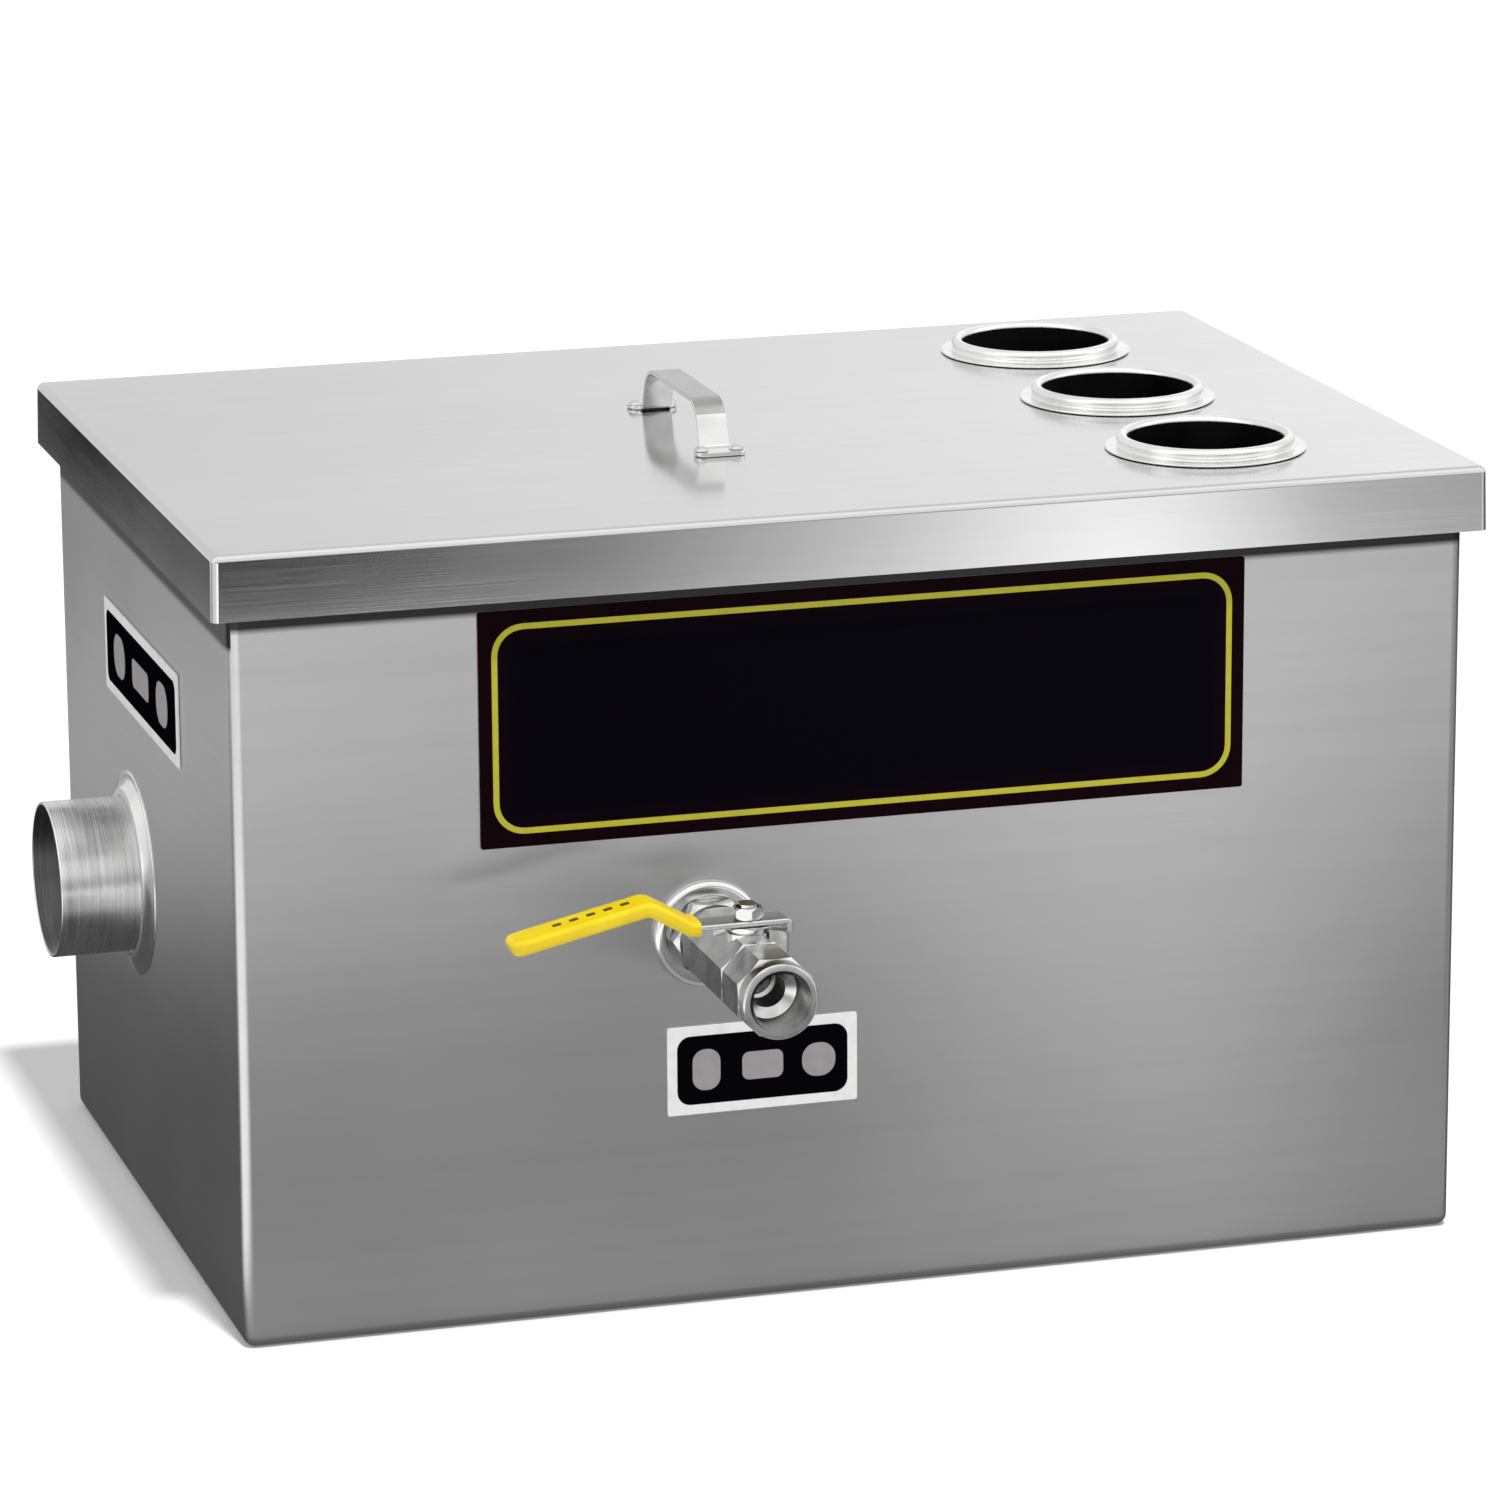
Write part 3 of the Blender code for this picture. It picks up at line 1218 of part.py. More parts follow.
make_tank()
make_lid()
make_lid_seal()
make_handle()
make_rivets()
make_port_collars()
make_basket()
make_basket_grips()
make_ledges()
make_channels("inlet", INLET_BAFFLE_X)
make_channels("outlet", OUTLET_BAFFLE_X)
make_baffle("inlet_baffle", INLET_BAFFLE_X, -1)
make_baffle("outlet_baffle", OUTLET_BAFFLE_X, 1)
make_outlet()
make_outlet_tee()
make_plate("front_panel", PANEL_CENTRE, PANEL_SIZE, black_plate())
make_plate("valve_label", VALVE_LABEL_CENTRE, VALVE_LABEL_SIZE, white_plate())
make_plate("side_label", SIDE_LABEL_CENTRE, SIDE_LABEL_SIZE, white_plate(), on_left_wall=True)
make_valve()
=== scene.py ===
import json
import math

import bmesh
import bpy
from mathutils import Matrix, Vector

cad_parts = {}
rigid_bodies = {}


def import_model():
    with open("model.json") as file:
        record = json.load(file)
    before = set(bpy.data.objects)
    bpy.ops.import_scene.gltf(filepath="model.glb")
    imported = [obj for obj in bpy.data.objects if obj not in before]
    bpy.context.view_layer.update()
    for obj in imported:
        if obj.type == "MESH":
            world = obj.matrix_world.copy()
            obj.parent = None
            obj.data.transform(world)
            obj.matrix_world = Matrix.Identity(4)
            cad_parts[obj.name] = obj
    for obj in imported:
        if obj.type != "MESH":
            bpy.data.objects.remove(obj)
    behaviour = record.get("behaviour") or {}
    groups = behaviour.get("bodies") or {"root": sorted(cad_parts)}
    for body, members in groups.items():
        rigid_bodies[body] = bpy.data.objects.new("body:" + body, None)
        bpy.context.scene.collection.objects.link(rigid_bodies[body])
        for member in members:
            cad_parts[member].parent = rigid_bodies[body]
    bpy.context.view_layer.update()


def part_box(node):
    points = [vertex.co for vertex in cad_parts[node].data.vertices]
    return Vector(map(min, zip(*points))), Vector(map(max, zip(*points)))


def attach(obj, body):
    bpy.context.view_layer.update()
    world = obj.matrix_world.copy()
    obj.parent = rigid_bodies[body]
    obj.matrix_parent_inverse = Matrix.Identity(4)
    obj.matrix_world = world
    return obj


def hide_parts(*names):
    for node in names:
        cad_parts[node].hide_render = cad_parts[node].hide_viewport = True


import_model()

# Camera: it stands three metres off, in front of the trap's left half, and looks down on it a
# little through a long lens, with a trace of roll.
CAMERA_PLACE = Vector((-0.9248, -3.136, 1.0608))
CAMERA_YAW = math.radians(16.513)
CAMERA_PITCH = math.radians(14.514)
CAMERA_ROLL = math.radians(-0.363)
bpy.ops.object.camera_add()
camera = bpy.context.active_object
camera.name = "catalogue_camera"
camera.matrix_world = (
    Matrix.Translation(CAMERA_PLACE)
    @ Matrix.Rotation(-CAMERA_YAW, 4, "Z")
    @ Matrix.Rotation(math.pi / 2 - CAMERA_PITCH, 4, "X")
    @ Matrix.Rotation(CAMERA_ROLL, 4, "Z")
)
camera.data.sensor_width = 36
camera.data.lens = 163.6
camera.data.clip_end = 100
bpy.context.scene.camera = camera


# Tank: five walls of 1.2 mm stainless sheet, folded and welded into an open box. The top edge is
# turned out and down into a stiff rim, and round holes are cut for the outlet pipe and the valve.
class Flow:
    """A socket of a material that can be calculated with: flow + 1 adds a Math node."""

    def __init__(self, socket):
        self.socket = socket

    @classmethod
    def node(cls, tree, kind, settings=None, inputs=None, output=0):
        """Adds a node, sets it up, then fills or links its sockets, and gives one output."""
        node = tree.nodes.new(kind)
        for setting, value in (settings or {}).items():
            setattr(node, setting, value)
        for name, value in (inputs or {}).items():
            socket = node.inputs[name]
            if isinstance(value, Flow):
                tree.links.new(value.socket, socket)
            else:
                socket.default_value = value
        return cls(node.outputs[output])

    def math(self, operation, *others):
        inputs = dict(enumerate((self, *others)))
        return Flow.node(self.socket.id_data, "ShaderNodeMath", {"operation": operation}, inputs)

    def __add__(self, other):
        return self.math("ADD", other)

    def __mul__(self, other):
        return self.math("MULTIPLY", other)

    def __sub__(self, other):
        return self.math("SUBTRACT", other)

    def __rsub__(self, other):
        inputs = {0: other, 1: self}
        return Flow.node(self.socket.id_data, "ShaderNodeMath", {"operation": "SUBTRACT"}, inputs)

    def __truediv__(self, other):
        return self.math("DIVIDE", other)

    def __gt__(self, other):
        return self.math("GREATER_THAN", other)

    def __abs__(self):
        return self.math("ABSOLUTE")

    __radd__ = __add__
    __rmul__ = __mul__

    def step(self, start, end):
        """0 below start, 1 above end, and an even ramp between them."""
        return ((self - start) * (1.0 / (end - start))).math("MAXIMUM", 0.0).math("MINIMUM", 1.0)

    def between(self, low, high):
        """This factor's mix of two numbers or two readings."""
        inputs = {"Factor": self, 2: low, 3: high}
        return Flow.node(self.socket.id_data, "ShaderNodeMix", {"data_type": "FLOAT"}, inputs)

    def colours(self, low, high):
        """This factor's mix of two colours."""
        low, high = (side if isinstance(side, Flow) else (*side, 1.0) for side in (low, high))
        inputs = {"Factor": self, 6: low, 7: high}
        return Flow.node(self.socket.id_data, "ShaderNodeMix", {"data_type": "RGBA"}, inputs, 2)


def new_material(name, roughness, metallic, gloss=0.5):
    """A material with a plain shader, whose fixed values stand on the shader's own sockets."""
    material = bpy.data.materials.new(name)
    material.use_nodes = True
    shader = material.node_tree.nodes["Principled BSDF"]
    shader.inputs["Roughness"].default_value = roughness
    shader.inputs["Metallic"].default_value = metallic
    shader.inputs["Specular IOR Level"].default_value = gloss
    return material, material.node_tree


def place_of(tree, reading="Object"):
    """The point on the object in metres, as three numbers. "Normal" gives where it faces instead."""
    point = Flow.node(tree, "ShaderNodeTexCoord", output=reading)
    split = Flow.node(tree, "ShaderNodeSeparateXYZ", inputs={"Vector": point}).socket.node
    return tuple(Flow(split.outputs[axis]) for axis in "XYZ")


def noise(tree, x, y, z, scale=1.0, detail=2.0):
    point = Flow.node(tree, "ShaderNodeCombineXYZ", inputs={"X": x, "Y": y, "Z": z})
    inputs = {"Vector": point, "Scale": scale, "Detail": detail}
    return Flow.node(tree, "ShaderNodeTexNoise", {"noise_dimensions": "3D"}, inputs)


def finish(material, colour, roughness, relief, strength, distance):
    """Links what changes over a surface: its colour, its roughness and its fine relief."""
    tree = material.node_tree
    shader = tree.nodes["Principled BSDF"]
    inputs = {"Height": relief, "Strength": strength, "Distance": distance}
    relief = Flow.node(tree, "ShaderNodeBump", {}, inputs)
    for socket, flow in (("Base Color", colour), ("Roughness", roughness), ("Normal", relief)):
        tree.links.new(flow.socket, shader.inputs[socket])
    return material


def rolled_sheet(name, dark, light, roughness, hair_depth, painted_shade_height=None):
    """Satin stainless sheet: its grain runs level on every wall and along the trap on flat faces.
    Where a height is given, the sheet is painted near black above it, as painted shade up under the
    lid's skirt."""
    material, tree = new_material(name, roughness, 1.0)
    x, y, z = place_of(tree)
    face_x, _, face_z = place_of(tree, "Normal")
    along = (abs(face_x) > 0.7).between(x, y)
    across = (abs(face_z) > 0.7).between(z, y)
    hairs = noise(tree, along * 9.0, across * 1500.0, 0.0, detail=3.0)
    streaks = noise(tree, along * 1.6, across * 120.0, 3.0)
    clouds = noise(tree, x, y, z, scale=7.0, detail=3.0)
    tone = streaks * 0.35 + clouds * 0.65
    steel = tone.step(0.25, 0.75).colours(dark, light)
    # Above the height the colour turns near black: painted shade under the lid's skirt, set lower on
    # the side walls
    if painted_shade_height:
        lower_on_sides = (abs(face_x) > 0.7) * 0.0085
        painted_shade = (z + lower_on_sides).step(painted_shade_height, painted_shade_height + 0.003) * 0.98
        steel = painted_shade.colours(steel, (0.03, 0.03, 0.03))
    rough = hairs * 0.10 + clouds * 0.08 + (roughness - 0.09)
    return finish(material, steel, rough, hairs, 0.35, hair_depth)


def take(*pieces):
    """In object mode, selects pieces and nothing else, and makes the first one active."""
    if bpy.context.object and bpy.context.object.mode == "EDIT":
        bpy.ops.object.mode_set(mode="OBJECT")
    bpy.ops.object.select_all(action="DESELECT")
    for piece in pieces:
        piece.select_set(True)
    if pieces:
        bpy.context.view_layer.objects.active = pieces[0]


def begin(name, add, **settings):
    """Adds a primitive as the only thing selected, and puts its place and size into its mesh."""
    take()
    add(**settings)
    piece = bpy.context.active_object
    piece.name = name
    piece.data.name = name
    bpy.ops.object.transform_apply(location=True, rotation=True, scale=True)
    return piece


def block(name, low, high):
    """A box between two corners."""
    low = Vector(low)
    high = Vector(high)
    add = bpy.ops.mesh.primitive_cube_add
    return begin(name, add, size=1, location=(low + high) / 2, scale=high - low)


def bar(name, start, end, radius, sides, turn=0.0):
    """A round or many-sided bar from one point to another."""
    start = Vector(start)
    end = Vector(end)
    aim = (end - start).to_track_quat("Z", "Y").to_matrix().to_4x4()
    angles = (aim @ Matrix.Rotation(turn, 4, "Z")).to_euler()
    add = bpy.ops.mesh.primitive_cylinder_add
    return begin(name, add, vertices=sides, radius=radius, depth=(end - start).length,
                 location=(start + end) / 2, rotation=angles)


def pick(kind, test):
    """In edit mode, selects the verts, edges or faces that pass a test, and nothing else."""
    piece = bpy.context.active_object
    if piece.mode != "EDIT":
        bpy.ops.object.mode_set(mode="EDIT")
    bpy.ops.mesh.select_mode(type=kind)
    bpy.ops.mesh.select_all(action="DESELECT")
    mesh = bmesh.from_edit_mesh(piece.data)
    items = {"VERT": mesh.verts, "EDGE": mesh.edges, "FACE": mesh.faces}[kind]
    for item in items:
        if test(item):
            item.select_set(True)
    mesh.select_flush_mode()
    bmesh.update_edit_mesh(piece.data)


def middle(item):
    """The middle of an edge or a face."""
    return sum((vert.co for vert in item.verts), Vector()) / len(item.verts)


def extrude(shift=(0, 0, 0)):
    bpy.ops.mesh.extrude_region_move(TRANSFORM_OT_translate={"value": shift})


def stretch(factors, centre):
    bpy.ops.transform.resize(value=factors, center_override=centre)


def modify(piece, kind, **settings):
    """Adds a modifier and applies it."""
    take(piece)
    modifier = piece.modifiers.new(kind.title(), kind)
    for setting, value in settings.items():
        setattr(modifier, setting, value)
    bpy.ops.object.modifier_apply(modifier=modifier.name)


def combine(piece, other, operation):
    """Cuts another piece out of this one, or joins it on, and deletes the other."""
    modify(piece, "BOOLEAN", operation=operation, object=other, solver="EXACT")
    bpy.data.objects.remove(other)


def complete(piece, material, body, node):
    take(piece)
    bpy.ops.object.shade_smooth_by_angle(angle=SMOOTH_ANGLE)
    modify(piece, "WEIGHTED_NORMAL", keep_sharp=True)
    if not piece.data.materials:
        piece.data.materials.append(material)
    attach(piece, body)
    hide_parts(node)


SMOOTH_ANGLE = math.radians(35)
TANK_SHEET = 0.0012
RIM_REACH = 0.0072
RIM_LIP = 0.0088
FOLD_RADIUS = 0.0055
RIM_FOLD_RADIUS = 0.0010
SLIP = 0.0003
OVERRUN = 0.01
THREAD_RADIUS = 0.0132
# Height from which the tank walls are painted near black, as painted shade under the skirt
PAINTED_SHADE_HEIGHT = 0.3405
tank_steel = rolled_sheet(
    "tank_steel", (0.54, 0.54, 0.54), (0.62, 0.62, 0.62), 0.35, 0.00006, PAINTED_SHADE_HEIGHT)
rim_low, rim_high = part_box("tank")
pipe_low, pipe_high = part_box("outlet_pipe")
ring_low, ring_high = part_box("valve_wall_ring")
wall_x = rim_high.x - RIM_REACH
wall_y = rim_high.y - RIM_REACH
rim_z = rim_high.z - TANK_SHEET
pipe_y = (pipe_low.y + pipe_high.y) / 2
pipe_z = (pipe_low.z + pipe_high.z) / 2
pipe_radius = (pipe_high.z - pipe_low.z) / 2
valve_x = (ring_low.x + ring_high.x) / 2
valve_z = (ring_low.z + ring_high.z) / 2

tank = block("tank_shell", (-wall_x, -wall_y, rim_low.z), (wall_x, wall_y, rim_z))
pick("FACE", lambda face: face.normal.z > 0.9)
bpy.ops.mesh.delete(type="ONLY_FACE")
pick("EDGE", lambda edge: not edge.is_boundary)
bpy.ops.mesh.bevel(offset=FOLD_RADIUS, segments=6, profile=0.5)
pick("EDGE", lambda edge: edge.is_boundary)
extrude()
rim_x = wall_x + RIM_REACH - TANK_SHEET
rim_y = wall_y + RIM_REACH - TANK_SHEET
stretch((rim_x / wall_x, rim_y / wall_y, 1), (0, 0, rim_z))
extrude((0, 0, -RIM_LIP))
pick("EDGE", lambda edge: len(edge.link_faces) == 2 and edge.calc_face_angle() > 1.0
     and all(vert.co.z > rim_z - 1e-5 for vert in edge.verts))
bpy.ops.mesh.bevel(offset=RIM_FOLD_RADIUS, segments=3, profile=0.5)
modify(tank, "SOLIDIFY", thickness=TANK_SHEET, offset=-1, use_even_offset=True)
outlet_at = Vector((-wall_x, pipe_y, pipe_z))
past = Vector((OVERRUN, 0, 0))
outlet_hole = bar("outlet_hole", outlet_at - past, outlet_at + past, pipe_radius + SLIP, 96)
combine(tank, outlet_hole, "DIFFERENCE")
axis_start = Vector((valve_x, -wall_y, valve_z))
past = Vector((0, OVERRUN, 0))
valve_hole = bar("valve_hole", axis_start - past, axis_start + past, THREAD_RADIUS + SLIP, 48)
combine(tank, valve_hole, "DIFFERENCE")
complete(tank, tank_steel, "trap", "tank")


# Inside pieces: the strainer basket on its two ledges, the two baffles in their channels and the
# tee on the outlet pipe are bent from stainless sheet too. They keep the frame's own meshes.
def refinish(material, *nodes):
    """Gives nodes of the frame a better material."""
    for node in nodes:
        for material_slot in bpy.data.objects[node].material_slots:
            material_slot.material = material


inner_steel = rolled_sheet("inner_steel", (0.40, 0.40, 0.39), (0.52, 0.52, 0.51), 0.38, 0.00006)
refinish(inner_steel, "strainer_basket", "basket_ledge_front", "basket_ledge_rear")
refinish(inner_steel, "inlet_channel_front", "inlet_channel_rear")
refinish(inner_steel, "outlet_channel_front", "outlet_channel_rear")
refinish(inner_steel, "inlet_baffle", "outlet_baffle")


# Lid seal: a frame of soft black rubber between the tank's rim and the lid, cut from sheet. The
# valve's gasket in the wall is of the same rubber.
def rubber(name, colour, gloss=0.5):
    """Matt rubber or soft plastic with a fine skin and a little bloom."""
    material, tree = new_material(name, 0.65, 0.0, gloss)
    x, y, z = place_of(tree)
    skin = noise(tree, x, y, z, scale=600.0, detail=3.0)
    bloom = noise(tree, x, y, z, scale=18.0, detail=3.0)
    pale = tuple(min(1.0, 1.5 * channel + 0.01) for channel in colour)
    bloomed = bloom.step(0.35, 0.75).colours(colour, pale)
    return finish(material, bloomed, skin * 0.2 + 0.5, skin, 0.4, 0.00008)


black_rubber = rubber("black_rubber", (0.02, 0.02, 0.021))
refinish(black_rubber, "lid_seal", "bulkhead_gasket")


# Lid: a shallow tray of 1 mm sheet turned upside down over the rim. Its skirt hides the rim and
# leans out a little. The corners are welded and ground. Three holes take the ports, four the rivets.
LID_SHEET = 0.0010
LID_FOLD_RADIUS = 0.0036
SKIRT_LEAN = 0.0006
PORT_HOLE_RADIUS = 0.0390
RIVET_HOLE_RADIUS = 0.0023
lid_steel = rolled_sheet("lid_steel", (0.62, 0.62, 0.62), (0.70, 0.70, 0.70), 0.13, 0.000015)
lid_low, lid_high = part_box("lid")
lid = block("lid_shell", lid_low, lid_high)
pick("FACE", lambda face: face.normal.z < -0.9)
bpy.ops.mesh.delete(type="ONLY_FACE")
pick("FACE", lambda face: face.normal.z > 0.9)
stretch((1 - SKIRT_LEAN / lid_high.x, 1 - SKIRT_LEAN / lid_high.y, 1), (0, 0, lid_high.z))
pick("EDGE", lambda edge: not edge.is_boundary)
bpy.ops.mesh.bevel(offset=LID_FOLD_RADIUS, segments=6, profile=0.5)
modify(lid, "SOLIDIFY", thickness=LID_SHEET, offset=-1, use_even_offset=True)


def drill_lid(place, radius, sides):
    """Cuts a round hole through the lid's top."""
    x, y = place.xy
    low, high = (x, y, lid_high.z - OVERRUN), (x, y, lid_high.z + OVERRUN)
    hole = bar("hole", low, high, radius, sides)
    combine(lid, hole, "DIFFERENCE")


PORTS = ("front", "middle", "rear")
port_places = {}
for port in PORTS:
    collar_low, collar_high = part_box(f"port_collar_{port}")
    port_places[port] = (collar_low + collar_high) / 2
    drill_lid(port_places[port], PORT_HOLE_RADIUS, 96)
RIVETS = (1, 2, 3, 4)
rivet_places = {}
for rivet in RIVETS:
    rivet_low, rivet_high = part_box(f"handle_rivet_{rivet}")
    rivet_places[rivet] = (rivet_low + rivet_high) / 2
    drill_lid(rivet_places[rivet], RIVET_HOLE_RADIUS, 16)
complete(lid, lid_steel, "trap", "lid")


# Hose ports: three collars spun from thin stainless and polished. Each has a flat flange on the
# lid, a rolled bead above that a hose cuff snaps over, and a spigot whose bore is painted near black
# as painted shade.
def arc(centre, radius, first, last, steps):
    """Points of an arc in an outline, with its angles in degrees from the radius direction."""
    angles = (math.radians(first + (last - first) * step / steps) for step in range(steps + 1))
    return [(centre[0] + radius * math.cos(a), centre[1] + radius * math.sin(a)) for a in angles]


def trace(name, points):
    """Starts a piece as one vert, extrudes that from point to point and selects all of it."""
    piece = begin(name, bpy.ops.mesh.primitive_plane_add, size=0.001, location=points[0])
    bpy.ops.object.mode_set(mode="EDIT")
    bpy.ops.mesh.select_mode(type="VERT")
    bpy.ops.mesh.select_all(action="SELECT")
    bpy.ops.mesh.merge(type="CENTER")
    for before, after in zip(points, points[1:]):
        extrude(after - before)
    bpy.ops.mesh.select_all(action="SELECT")
    return piece


def turn(name, outline, centre, axis, steps=96):
    """Draws an outline of (radius, height) points beside an axis and spins it round it."""
    centre = Vector(centre)
    axis = Vector(axis)
    side = axis.orthogonal().normalized()
    points = [centre + side * radius + axis * height for radius, height in outline]
    if min(radius for radius, height in outline) > 0:
        points.append(points[0])
    piece = trace(name, points)
    bpy.ops.mesh.remove_doubles(threshold=1e-6)
    bpy.ops.mesh.spin(steps=steps, angle=math.tau, center=centre, axis=axis)
    bpy.ops.mesh.select_all(action="SELECT")
    bpy.ops.mesh.remove_doubles(threshold=1e-6)
    bpy.ops.mesh.normals_make_consistent(inside=False)
    bpy.ops.object.mode_set(mode="OBJECT")
    return piece


def polished(name, colour, roughness, scuff):
    """Bright polished stainless with faint clouding and tiny scuffs."""
    material, tree = new_material(name, roughness, 1.0)
    x, y, z = place_of(tree)
    clouds = noise(tree, x, y, z, scale=45.0, detail=3.0)
    specks = noise(tree, x, y, z, scale=900.0)
    worn = tuple(0.86 * channel for channel in colour)
    rough = clouds * 0.10 + specks * 0.08 + (roughness - 0.09)
    return finish(material, clouds.step(0.3, 0.6).colours(worn, colour), rough, specks, 0.3, scuff)


def dress(piece, material, test):
    """Gives the faces that pass a test a finish of their own."""
    piece.data.materials.append(material)
    pick("FACE", test)
    piece.active_material_index = len(piece.data.materials) - 1
    bpy.ops.object.material_slot_assign()
    bpy.ops.object.mode_set(mode="OBJECT")


def paint_bore_shade(piece, lining, radius, centre, axis):
    """Gives the faces inside a bore their own finish; each bore here gets a dark one, as painted
    shade.
    """
    centre = Vector(centre)
    axis = Vector(axis)

    def inside(face):
        reach = middle(face) - centre
        away = (reach - reach.project(axis)).length
        return away < radius + 1e-5 and abs(face.normal.dot(axis)) < 0.9

    dress(piece, lining, inside)


UP = Vector((0, 0, 1))
COLLAR_BORE = 0.0375
COLLAR_WALL = 0.0012
BEAD_RADIUS = 0.0027
BEAD_HEIGHT = 0.0047
FLANGE_RADIUS = 0.0485
FLANGE_THICKNESS = 0.0010
SPIGOT_DEPTH = 0.018
collar_steel = polished("collar_steel", (0.95, 0.95, 0.945), 0.27, 0.000004)
neck = COLLAR_BORE + 2 * BEAD_RADIUS - COLLAR_WALL
flange_top = SLIP + FLANGE_THICKNESS
edge = FLANGE_THICKNESS / 2
collar = arc((COLLAR_BORE + BEAD_RADIUS, BEAD_HEIGHT), BEAD_RADIUS, 180, -40, 16)
collar += arc((neck + COLLAR_WALL, flange_top + COLLAR_WALL), COLLAR_WALL, 180, 270, 5)
collar += arc((FLANGE_RADIUS - edge, SLIP + edge), edge, 90, -90, 6)
outside = COLLAR_BORE + COLLAR_WALL
collar += [(outside, SLIP), (outside, -SPIGOT_DEPTH), (COLLAR_BORE, -SPIGOT_DEPTH)]
# The near-black lining of the bores is painted shade
bore_shade_lining = rubber("bore_shade_lining", (0.0015, 0.0015, 0.0015), 0.04)
for port in PORTS:
    x, y = port_places[port].xy
    name = f"port_collar_{port}"
    piece = turn(f"{name}_spun", collar, (x, y, lid_high.z), UP)
    piece.data.materials.append(collar_steel)
    paint_bore_shade(piece, bore_shade_lining, COLLAR_BORE, (x, y, 0), UP)
    complete(piece, collar_steel, "trap", name)


# Lid handle: a low bow pressed from polished strap, with a wider foot at each end and its top faces
# painted darker as painted shade. Four blind rivets with domed heads hold the feet on the lid.
def swing(degrees, axis, centre):
    """Turns what is selected, counterclockwise when seen from that axis's far end."""
    bpy.ops.transform.rotate(value=-math.radians(degrees), orient_axis=axis, center_override=centre)


def sweep(name, section, path, centre, axis):
    """Draws a closed section and extrudes its face along a path that runs along X or Y and up.
    A path's point may also give how wide and how thick the section is there, as shares."""
    centre = Vector(centre)
    along, side, hand = (Vector((1, 0, 0)), "Y", 1) if axis == "X" else (Vector((0, 1, 0)), "X", -1)
    across = Vector((along.y, along.x, 0))
    stations = [centre + along * point[0] + UP * point[1] for point in path]
    runs = [(after - before).normalized() for before, after in zip(stations, stations[1:])]
    aims = [runs[0], *((a + b).normalized() for a, b in zip(runs, runs[1:])), runs[-1]]
    leans = [math.degrees(math.atan2(aim.dot(UP), aim.dot(along))) for aim in aims]
    outward = aims[0].cross(across) * hand
    piece = trace(name, [stations[0] + across * width + outward * height for width, height in section])
    bpy.ops.mesh.edge_face_add()
    shares = [(*point[2:], 1.0, 1.0)[:2] for point in path]
    wide, thick = shares[0]
    shrink(wide, thick, across, stations[0])
    for index in range(1, len(path)):
        extrude(stations[index] - stations[index - 1])
        turned = leans[index] - leans[index - 1]
        swing(-turned * hand, side, stations[index])
        shrink(shares[index][0] / wide, shares[index][1] / thick, across, stations[index])
        wide, thick = shares[index]
    bpy.ops.mesh.select_all(action="SELECT")
    bpy.ops.mesh.normals_make_consistent(inside=False)
    bpy.ops.object.mode_set(mode="OBJECT")
    return piece


def shrink(wide, thick, across, centre):
    """Narrows the selected section along its width, and thins it upwards."""
    factors = (1 + (wide - 1) * abs(across.x), 1 + (wide - 1) * abs(across.y), thick)
    stretch(factors, centre)


def repeat(piece, name, shift):
    """A moved copy with its own mesh."""
    take(piece)
    bpy.ops.object.duplicate()
    copy = bpy.context.active_object
    copy.name = name
    copy.data.name = name
    bpy.ops.transform.translate(value=shift)
    bpy.ops.object.transform_apply(location=True, rotation=True, scale=True)
    return copy


def fillet(points, radius, steps):
    """A path whose inner corners are rounded."""
    result = [points[0]]
    for before, corner, after in zip(points, points[1:], points[2:]):
        corner = Vector(corner)
        back = (Vector(before) - corner).normalized()
        onward = (Vector(after) - corner).normalized()
        half = back.angle(onward) / 2
        hub = corner + (back + onward).normalized() * radius / math.sin(half)
        start = corner + back * radius / math.tan(half) - hub
        end = corner + onward * radius / math.tan(half) - hub
        for step in range(steps + 1):
            result.append(tuple(hub + start.lerp(end, step / steps).normalized() * radius))
    return [*result, points[-1]]


HANDLE_RISE = 0.0215
LEG_LEAN = 0.008
PAD_REACH = 0.065
LEG_REACH = 0.051
STRAP_SHARE = 15 / 25
STRAP_HALF = 0.0009
FOOT_BEND = 0.003
SHOULDER_BEND = 0.015
# How wide the foot is at points along the strap, from its rounded end to where the leg starts
FOOT = ((0.065, 0.64), (0.0647, 0.76), (0.0641, 0.86), (0.0630, 0.94), (0.0615, 0.99), (0.0595, 1.0),
        (0.0578, 0.985), (0.0564, 0.93), (0.0553, 0.84), (0.0544, 0.72), (0.0537, 0.63))
handle_steel = polished("handle_steel", (0.82, 0.82, 0.815), 0.17, 0.00001)
shaded_top_steel = polished("shaded_top_steel", (0.46, 0.46, 0.455), 0.24, 0.00001)
handle_low, handle_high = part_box("lid_handle")
handle_x, handle_y = ((handle_low + handle_high) / 2).xy
strap_z = handle_low.z + STRAP_HALF
leg_middle = (LEG_LEAN / 2 - LEG_REACH, HANDLE_RISE / 2)
leg_top = (LEG_LEAN - LEG_REACH, HANDLE_RISE)
foot_bend = fillet([(-PAD_REACH, 0.0), (-LEG_REACH, 0.0), leg_middle], FOOT_BEND, 6)[1:-1]
shoulder = fillet([leg_middle, leg_top, (0.0, HANDLE_RISE)], SHOULDER_BEND, 12)[1:-1]
half_bow = [(-y, 0.0, share) for y, share in FOOT]
half_bow += [(y, z, STRAP_SHARE) for y, z in foot_bend + shoulder]
bow = half_bow + [(-y, z, share) for y, z, share in reversed(half_bow)]
strap = [(0.0125, 0.0006), (0.0121, STRAP_HALF), (-0.0121, STRAP_HALF), (-0.0125, 0.0006)]
strap += [(-width, -height) for width, height in strap]
handle = sweep("lid_handle_bow", strap, bow, (handle_x, handle_y, strap_z), "Y")
handle.data.materials.append(handle_steel)
# The top faces of the bow are painted darker, as painted shade
dress(handle, shaded_top_steel, lambda face: face.normal.z > 0.6 and middle(face).z > strap_z + 0.006)
complete(handle, handle_steel, "trap", "lid_handle")

